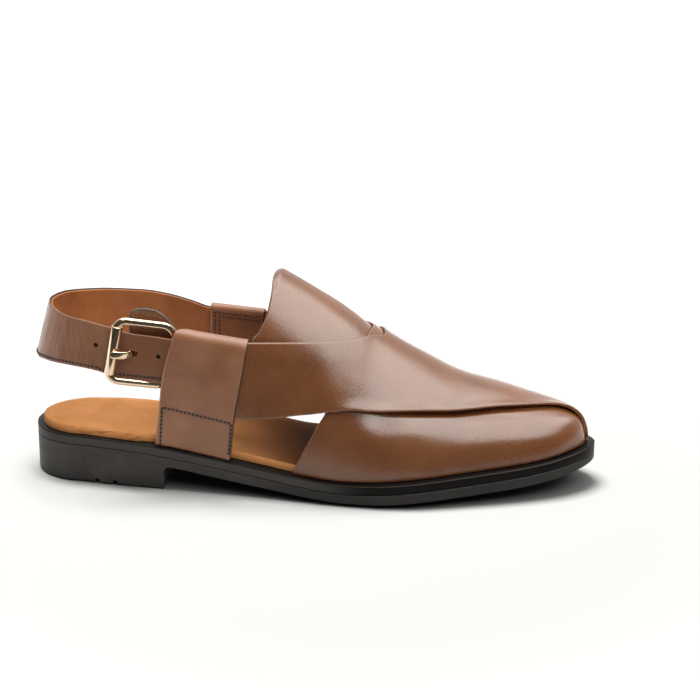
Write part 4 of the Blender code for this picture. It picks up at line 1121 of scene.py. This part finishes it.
def slab(name, x0, x1, ring, mats, **kw):
    """Solid through rings at stations that crowd toward the two rounded ends."""
    d = np.array([0.02, 0.06, 0.15, 0.3, 0.55, 0.9, 1.35, 1.9, 2.6, 3.4, 4.3, 5.3, 6.4, 7.6, 8.9, 10.3, 11.8, 13.4, 15.0])
    xs = np.concatenate([x0 + d, np.arange(x0 + 16.5, x1 - 16.5, 1.4), x1 - d[::-1]])
    extra = kw.pop("extra", ())
    xs = np.array(sorted(set(np.round(np.concatenate([xs, extra]), 3))))
    got = [ring(x) for x in xs]
    g = np.stack([r[0] if isinstance(r, tuple) else r for r in got])
    attrs = None
    if isinstance(got[0], tuple):
        keys = got[0][1].keys()
        attrs = {k: np.concatenate([r[1][k] for r in got]) for k in keys}
    return rings(name, g, mats, attrs=attrs, **kw)


def insole_ring(x):
    yo, yi, z = float(insole_half(x, -1)), float(insole_half(x, 1)), float(welt_top(x)) + CLEAR
    k = min(1.0, (yo + yi) / 16.0)
    t = INSOLE * (0.55 + 0.45 * k)
    a = np.linspace(0, 1, 15)
    # side curve: out from the feather line, round over the edge, and slowly up to the flat of the top
    ang = a * np.pi / 2
    dx = 2.6 * (1 - np.cos(ang)) ** 1.0
    dzz = 0.86 * np.sin(ang) ** 0.9
    more = np.array([3.6, 5.0, 6.8, 9.0])
    side = list(zip(dx, dzz)) + list(zip(more, [0.90, 0.95, 0.985, 1.0]))
    # creases of the lining where it is pulled round the edge
    n = 0.10 * noise1(x / 0.8, 21, 3) + 0.16 * noise1(x / 2.7, 22, 2)
    w = np.array([math.sin(math.pi * min(1.0, b / 0.95)) for _, b in side])
    bump = n * w * 1.0
    half_y = (yo + yi) / 2
    left = [(x, -yo + min(p * k, half_y * 0.98) - q * 0.6, z + b * t + q * 0.3) for (p, b), q in zip(side, bump)]
    mid_y = np.linspace(0, 1, 12)[1:-1]
    n2 = 0.10 * noise1(x / 0.8, 31, 3) + 0.16 * noise1(x / 2.7, 32, 2)
    bump2 = n2 * w
    right = [(x, yi - min(p * k, half_y * 0.98) + q * 0.6, z + b * t + q * 0.3) for (p, b), q in reversed(list(zip(side, bump2)))]
    la, rb = left[-1], right[0]
    soft = 0.15
    mid = [(x, la[1] + (rb[1] - la[1]) * u, z + t + soft * math.sin(math.pi * u)) for u in mid_y]
    pts = np.array(left + mid + right)
    curl = 3.7 * float(smooth(76, 100, x) * smooth(150, 124, x))
    pts[:, 2] += curl * smooth(0.0, 24.0, pts[:, 1]) * (pts[:, 2] - z) / t
    # side strip: it carries the wear scratches and keeps the painted shade off it
    wear = np.array([1.0 if b < 0.80 else 0.0 for _, b in side] + [0.0] * len(mid) + [1.0 if b < 0.80 else 0.0 for _, b in reversed(side)])
    wear = wear * float(smooth(20, 35, x) * smooth(95, 60, x)) * 0.8 + 0.10 * (wear > 0)
    return pts, {"wear": wear}


insole = slab("insole_cover", INSET, INSOLE_TIP, insole_ring, [INSOLE_MAT], slot="lining_tan", replaces=["insole"])


# ---------------------------------------------------------------- welt and sole
def welt_ring(x):
    yo, yi, top = float(sole_half(x, -1)), float(sole_half(x, 1)), float(welt_top(x))
    r = min(0.9 + 0.7 * float(smooth(230, 285, x)), 0.2 * (yo + yi))
    a = np.linspace(0, np.pi / 2, 7)
    side = [(r * (1 - math.cos(q)), -r * (1 - math.sin(q))) for q in a]
    low = [(0.25, -WELT), (0.0, -WELT + 0.3), (0.0, -WELT * 0.6)]
    fore = float(smooth(130, 165, x))
    chain = [(min(p, 0.45 * (yo + yi)), q) for p, q in low + side]
    rim = [0, 0, 0] + [0.55 * fore if i in (3, 4) else 0.0 for i in range(7)]
    left = [(x, -yo + p, top + q) for p, q in chain]
    right = [(x, yi - p, top + q) for p, q in reversed(chain)]
    pts = np.array(left + right)
    return pts, {"rim": np.array(rim + rim[::-1], float)}


slab("welt_edge", 0.0, LENGTH, welt_ring, [WELT_MAT], slot="welt_black", replaces=["welt"])


def sole_ring(x, heel):
    yo, yi = float(sole_half(x, -1)), float(sole_half(x, 1))
    top = float(welt_top(x)) - WELT - CLEAR
    if heel:
        low, flat, bevel = 0.6, 0.0, 0.7
    else:
        low, flat, bevel = float(edge_f(x)), float(bottom_f(x)), float(bevel_f(x))
    bevel = min(bevel, 0.3 * (yo + yi))
    r = min(0.35, 0.2 * (top - low))
    seam_z = top - 4.2
    seam = 0.12 * float(smooth(70, 25, x)) if heel else 0.0
    span = top - low
    hs = [top, top - 0.3]
    if heel:
        hs += [seam_z + 0.5, seam_z + 0.25, seam_z, seam_z - 0.25, seam_z - 0.5]
        ds = [0.3, 0.0, 0.0, seam * 0.7, seam, seam * 0.7, 0.0]
    else:
        hs += list(top - span * np.array([0.2, 0.35, 0.5, 0.65, 0.8]))
        ds = [0.3] + [0.0] * 6
    hs += [low + 0.3, low]
    ds += [0.0, 0.12]
    left = [(x, -yo + d, h) for h, d in zip(hs, ds)] + [(x, -yo + bevel, flat)]
    right = [(x, yi - bevel, flat)] + [(x, yi - d, h) for h, d in reversed(list(zip(hs, ds)))]
    mid = (yi - yo) / 2
    return np.array(left + [(x, mid, flat)] + right + [(x, mid, top)])


d = np.array([0.02, 0.06, 0.15, 0.3, 0.55, 0.9, 1.35, 1.9, 2.6, 3.4, 4.3, 5.3, 6.4, 7.6, 8.9, 10.3, 11.8, 13.4, 15.0])
heel_x = np.concatenate([d, np.arange(16.5, 74.0, 1.4), [74.4, 74.8, 75.0]])
fore_x = np.concatenate([[75.2, 75.6, 76.2, 77.0, 78.0], np.arange(79.4, 283.5, 1.5), 300.0 - d[::-1]])
g = np.stack([sole_ring(x, True) for x in heel_x] + [sole_ring(x, False) for x in fore_x])
n, m = g.shape[:2]
pts = g.reshape(-1, 3)
faces = quads(n, m, closed=True)
faces.append(list(range(m - 1, -1, -1)))
faces.append([(n - 1) * m + k for k in range(m)])
sole = make("sole_body", pts, faces, [SOLE_MAT], sharp=32, replaces=["sole"])
cutters = []
for k, x in enumerate(NOTCHES):
    for side in (-1, 1):
        y0, y1 = side * (float(sole_half(x, side)) - 9.0), side * (float(sole_half(x, side)) + 3.0)
        box = np.array([[(x + sx * 1.15, y, zz) for sx, zz in ((-1, -2.0), (1, -2.0), (1, 2.3), (-1, 2.3))] for y in (y0, y1)])
        f = quads(2, 4, closed=True) + [[3, 2, 1, 0], [4, 5, 6, 7]]
        mesh = bpy.data.meshes.new("notch")
        mesh.from_pydata(to_world(box.reshape(-1, 3)).tolist(), [], f)
        bm = bmesh.new()
        bm.from_mesh(mesh)
        bmesh.ops.recalc_face_normals(bm, faces=bm.faces)
        bm.to_mesh(mesh)
        bm.free()
        c = bpy.data.objects.new("notch", mesh)
        bpy.context.scene.collection.objects.link(c)
        mod = sole.modifiers.new("notch", "BOOLEAN")
        mod.operation, mod.solver, mod.object = "DIFFERENCE", "EXACT", c
        cutters.append(c)
bpy.context.view_layer.update()
apply_modifiers(sole)
for c in cutters:
    bpy.data.objects.remove(c, do_unlink=True)


# ---------------------------------------------------------------- stitches of the ears
def ear_line(points, side, inside=False, count=160):
    """Line on an ear through (x, z) points, with normals. Inside, it lies on the turned-in layer."""
    q = np.array(points, float)
    ss = np.concatenate([[0], np.cumsum(np.linalg.norm(np.diff(q, axis=0), axis=1))])
    u = np.linspace(0, ss[-1], count)
    x, z = np.interp(u, ss, q[:, 0]), np.interp(u, ss, q[:, 1])
    depth = sum(ear_depths(side)) - 0.05 if inside else 0.05
    y = side * (ear_face(x, z, side) - depth)
    p = np.stack([x, y, z], 1)
    nx = side * (ear_face(x + 0.3, z, side) - ear_face(x - 0.3, z, side)) / 0.6
    nz = side * (ear_face(x, z + 0.3, side) - ear_face(x, z - 0.3, side)) / 0.6
    n = np.stack([-nx, np.ones(len(x)), -nz], 1) * side
    if inside:
        n = -n
    return p, n / np.linalg.norm(n, axis=1, keepdims=True)


thread("ear_stitches", [ear_line([(72.9, 20.6), (74.8, 44.4), (112.0, 38.6), (110.2, 21.0)], -1)], 2.2, 1.5, 0.57, BLACK_THREAD, 0.44)
thread("ear_far_stitches", [ear_line([(87.6, 26.0), (88.6, 44.4), (112.4, 40.2), (110.8, 21.0)], 1)], 2.2, 1.5, 0.57, BLACK_THREAD, 0.44)
thread("ear_inner_stitches", [ear_line([(93.2, 52.0), (93.6, 80.6), (119.5, 78.6)], 1, True),
                              ear_line([(95.6, 52.0), (96.0, 78.0), (119.0, 76.0)], 1, True),
                              ear_line([(91.0, 52.0), (91.4, 80.4), (119.0, 77.8)], -1, True),
                              ear_line([(93.4, 52.0), (93.8, 77.8), (118.4, 75.4)], -1, True)], 2.5, 1.95, 0.42, BROWN_THREAD, 0.4)

# ---------------------------------------------------------------- floor, backdrop, light and camera
scene = bpy.context.scene
white, ft, fs, fco = start("paper_white")
light_path = node(ft, "ShaderNodeLightPath").outputs["Is Glossy Ray"]
across = node(ft, "ShaderNodeVectorMath", {0: fco, 1: (-0.25, 1.0, 0.0)}, operation="DOT_PRODUCT").outputs["Value"]
# painted reflection: for glossy rays only, the floor in front of the shoe turns dark, so polished parts reflect
# darkness there while the camera and diffuse light still see white paper
glossy_dark_floor = maths(ft, "MULTIPLY", light_path, remap(ft, across, -0.150, -0.180))
ft.links.new(mix(ft, glossy_dark_floor, (0.104, 0.104, 0.1034), (0.008, 0.008, 0.008)), fs.inputs["Base Color"])
fs.inputs["Roughness"].default_value = 0.9
fs.inputs["Specular IOR Level"].default_value = 0.0
away = node(ft, "ShaderNodeVectorMath", {0: fco, 1: (0.11, 0.0, 0.0)}, operation="DISTANCE").outputs["Value"]
lift = maths(ft, "ADD", remap(ft, away, 0.17, 0.60, 0.0, 0.7), remap(ft, away, 0.5, 1.5, 0.0, 0.5))
ft.links.new(maths(ft, "MULTIPLY", lift, maths(ft, "SUBTRACT", 1.0, glossy_dark_floor)), fs.inputs["Emission Strength"])
fs.inputs["Emission Color"].default_value = (1, 1, 1, 1)
mesh = bpy.data.meshes.new("floor")
mesh.from_pydata([(-4, -4, -0.0004), (4, -4, -0.0004), (4, 4, -0.0004), (-4, 4, -0.0004)], [], [(0, 1, 2, 3)])
mesh.materials.append(white)
floor = bpy.data.objects.new("floor", mesh)
scene.collection.objects.link(floor)


def area_light(name, where, target, size, power, colour=(1, 1, 1)):
    light = bpy.data.lights.new(name, "AREA")
    light.shape = "RECTANGLE"
    light.size, light.size_y = size
    light.energy = power
    light.color = colour
    ob = bpy.data.objects.new(name, light)
    ob.location = where
    ob.rotation_euler = (Vector(target) - Vector(where)).to_track_quat("-Z", "Y").to_euler()
    scene.collection.objects.link(ob)
    return ob


area_light("softbox_over", (0.11, 0.0, 1.7), (0.11, 0.0, 0.0), (1.3, 1.3), 19.6, (1.0, 0.985, 0.95))
# the paper has a soft light of its own, from above: it gives the shadow its edge
on_paper = bpy.data.collections.new("paper_only")
on_paper.objects.link(floor)
paper_light = area_light("softbox_paper", (-0.08, 0.28, 1.66), (0.11, 0.0, 0.0), (0.80, 0.80), 242.0, (1.0, 0.99, 0.97))
paper_light.visible_glossy = False
paper_light.light_linking.receiver_collection = on_paper

world = bpy.data.worlds.new("studio")
scene.world = world
world.use_nodes = True
wt = world.node_tree
wt.nodes.clear()
wout = node(wt, "ShaderNodeOutputWorld")
direction = node(wt, "ShaderNodeTexCoord").outputs["Generated"]
split = node(wt, "ShaderNodeSeparateXYZ", {"Vector": direction})
# the white backdrop stands behind the shoe; the room in front of it is dark
level = maths(wt, "ADD", maths(wt, "MULTIPLY", remap(wt, split.outputs["Y"], -0.05, 0.35), 0.90), 0.08)
level = maths(wt, "ADD", level, maths(wt, "MULTIPLY", remap(wt, split.outputs["X"], -0.62, -0.85), 0.07), clamp=True)
# one long soft light bends round the front and the right, from a third of the way up
turn = maths(wt, "ARCTAN2", split.outputs["X"], maths(wt, "MULTIPLY", split.outputs["Y"], -1.0))
soft = maths(wt, "MULTIPLY", remap(wt, turn, -0.03, 0.17), remap(wt, turn, 2.36, 2.12))
soft = maths(wt, "MULTIPLY", soft, remap(wt, split.outputs["Z"], 0.550, 0.612))
soft = maths(wt, "MULTIPLY", soft, remap(wt, split.outputs["Z"], 0.965, 0.920))
behind = maths(wt, "MULTIPLY", remap(wt, split.outputs["Y"], 0.10, 0.35), remap(wt, split.outputs["Z"], 0.64, 0.80))
soft = maths(wt, "MAXIMUM", soft, maths(wt, "MULTIPLY", behind, 0.60))
level = maths(wt, "MAXIMUM", level, maths(wt, "MULTIPLY", soft, 5.5))
back_bg = node(wt, "ShaderNodeBackground", {"Color": (1.0, 0.985, 0.955, 1), "Strength": level})
white_bg = node(wt, "ShaderNodeBackground", {"Color": (1, 1, 1, 1), "Strength": 1.0})
path_n = node(wt, "ShaderNodeLightPath")
mixer = node(wt, "ShaderNodeMixShader", {"Fac": path_n.outputs["Is Camera Ray"]})
wt.links.new(back_bg.outputs[0], mixer.inputs[1])
wt.links.new(white_bg.outputs[0], mixer.inputs[2])
wt.links.new(mixer.outputs[0], wout.inputs["Surface"])

scene.view_settings.view_transform = "Standard"
scene.view_settings.look = "None"

cam_data = bpy.data.cameras.new("camera")
cam_data.lens = 99.36
cam_data.sensor_width = 36.0
cam_data.sensor_fit = "HORIZONTAL"
cam_data.clip_start = 0.05
cam_data.clip_end = 50.0
cam = bpy.data.objects.new("camera", cam_data)
right_v, up_v, back_v = Vector((0.994094, 0.108520, 0.0)), Vector((-0.033012, 0.302403, 0.952608)), Vector((0.10338, -0.94698, 0.30420))
rot = Matrix((right_v, up_v, back_v)).transposed()
cam.matrix_world = Matrix.Translation((0.237355, -0.966273, 0.379378)) @ rot.to_4x4()
scene.collection.objects.link(cam)
scene.camera = cam

# every piece's faces look outward
for name in ("buckle_roller_tube", "buckle_strap", "buckle_wire", "ear_far_stitches", "ear_inner_stitches", "ear_stitches", "insole_cover",
             "over_panel", "strap_hole_shade", "strap_stitches", "tongue_leather", "welt_edge"):
    bpy.data.objects[name].data.flip_normals()
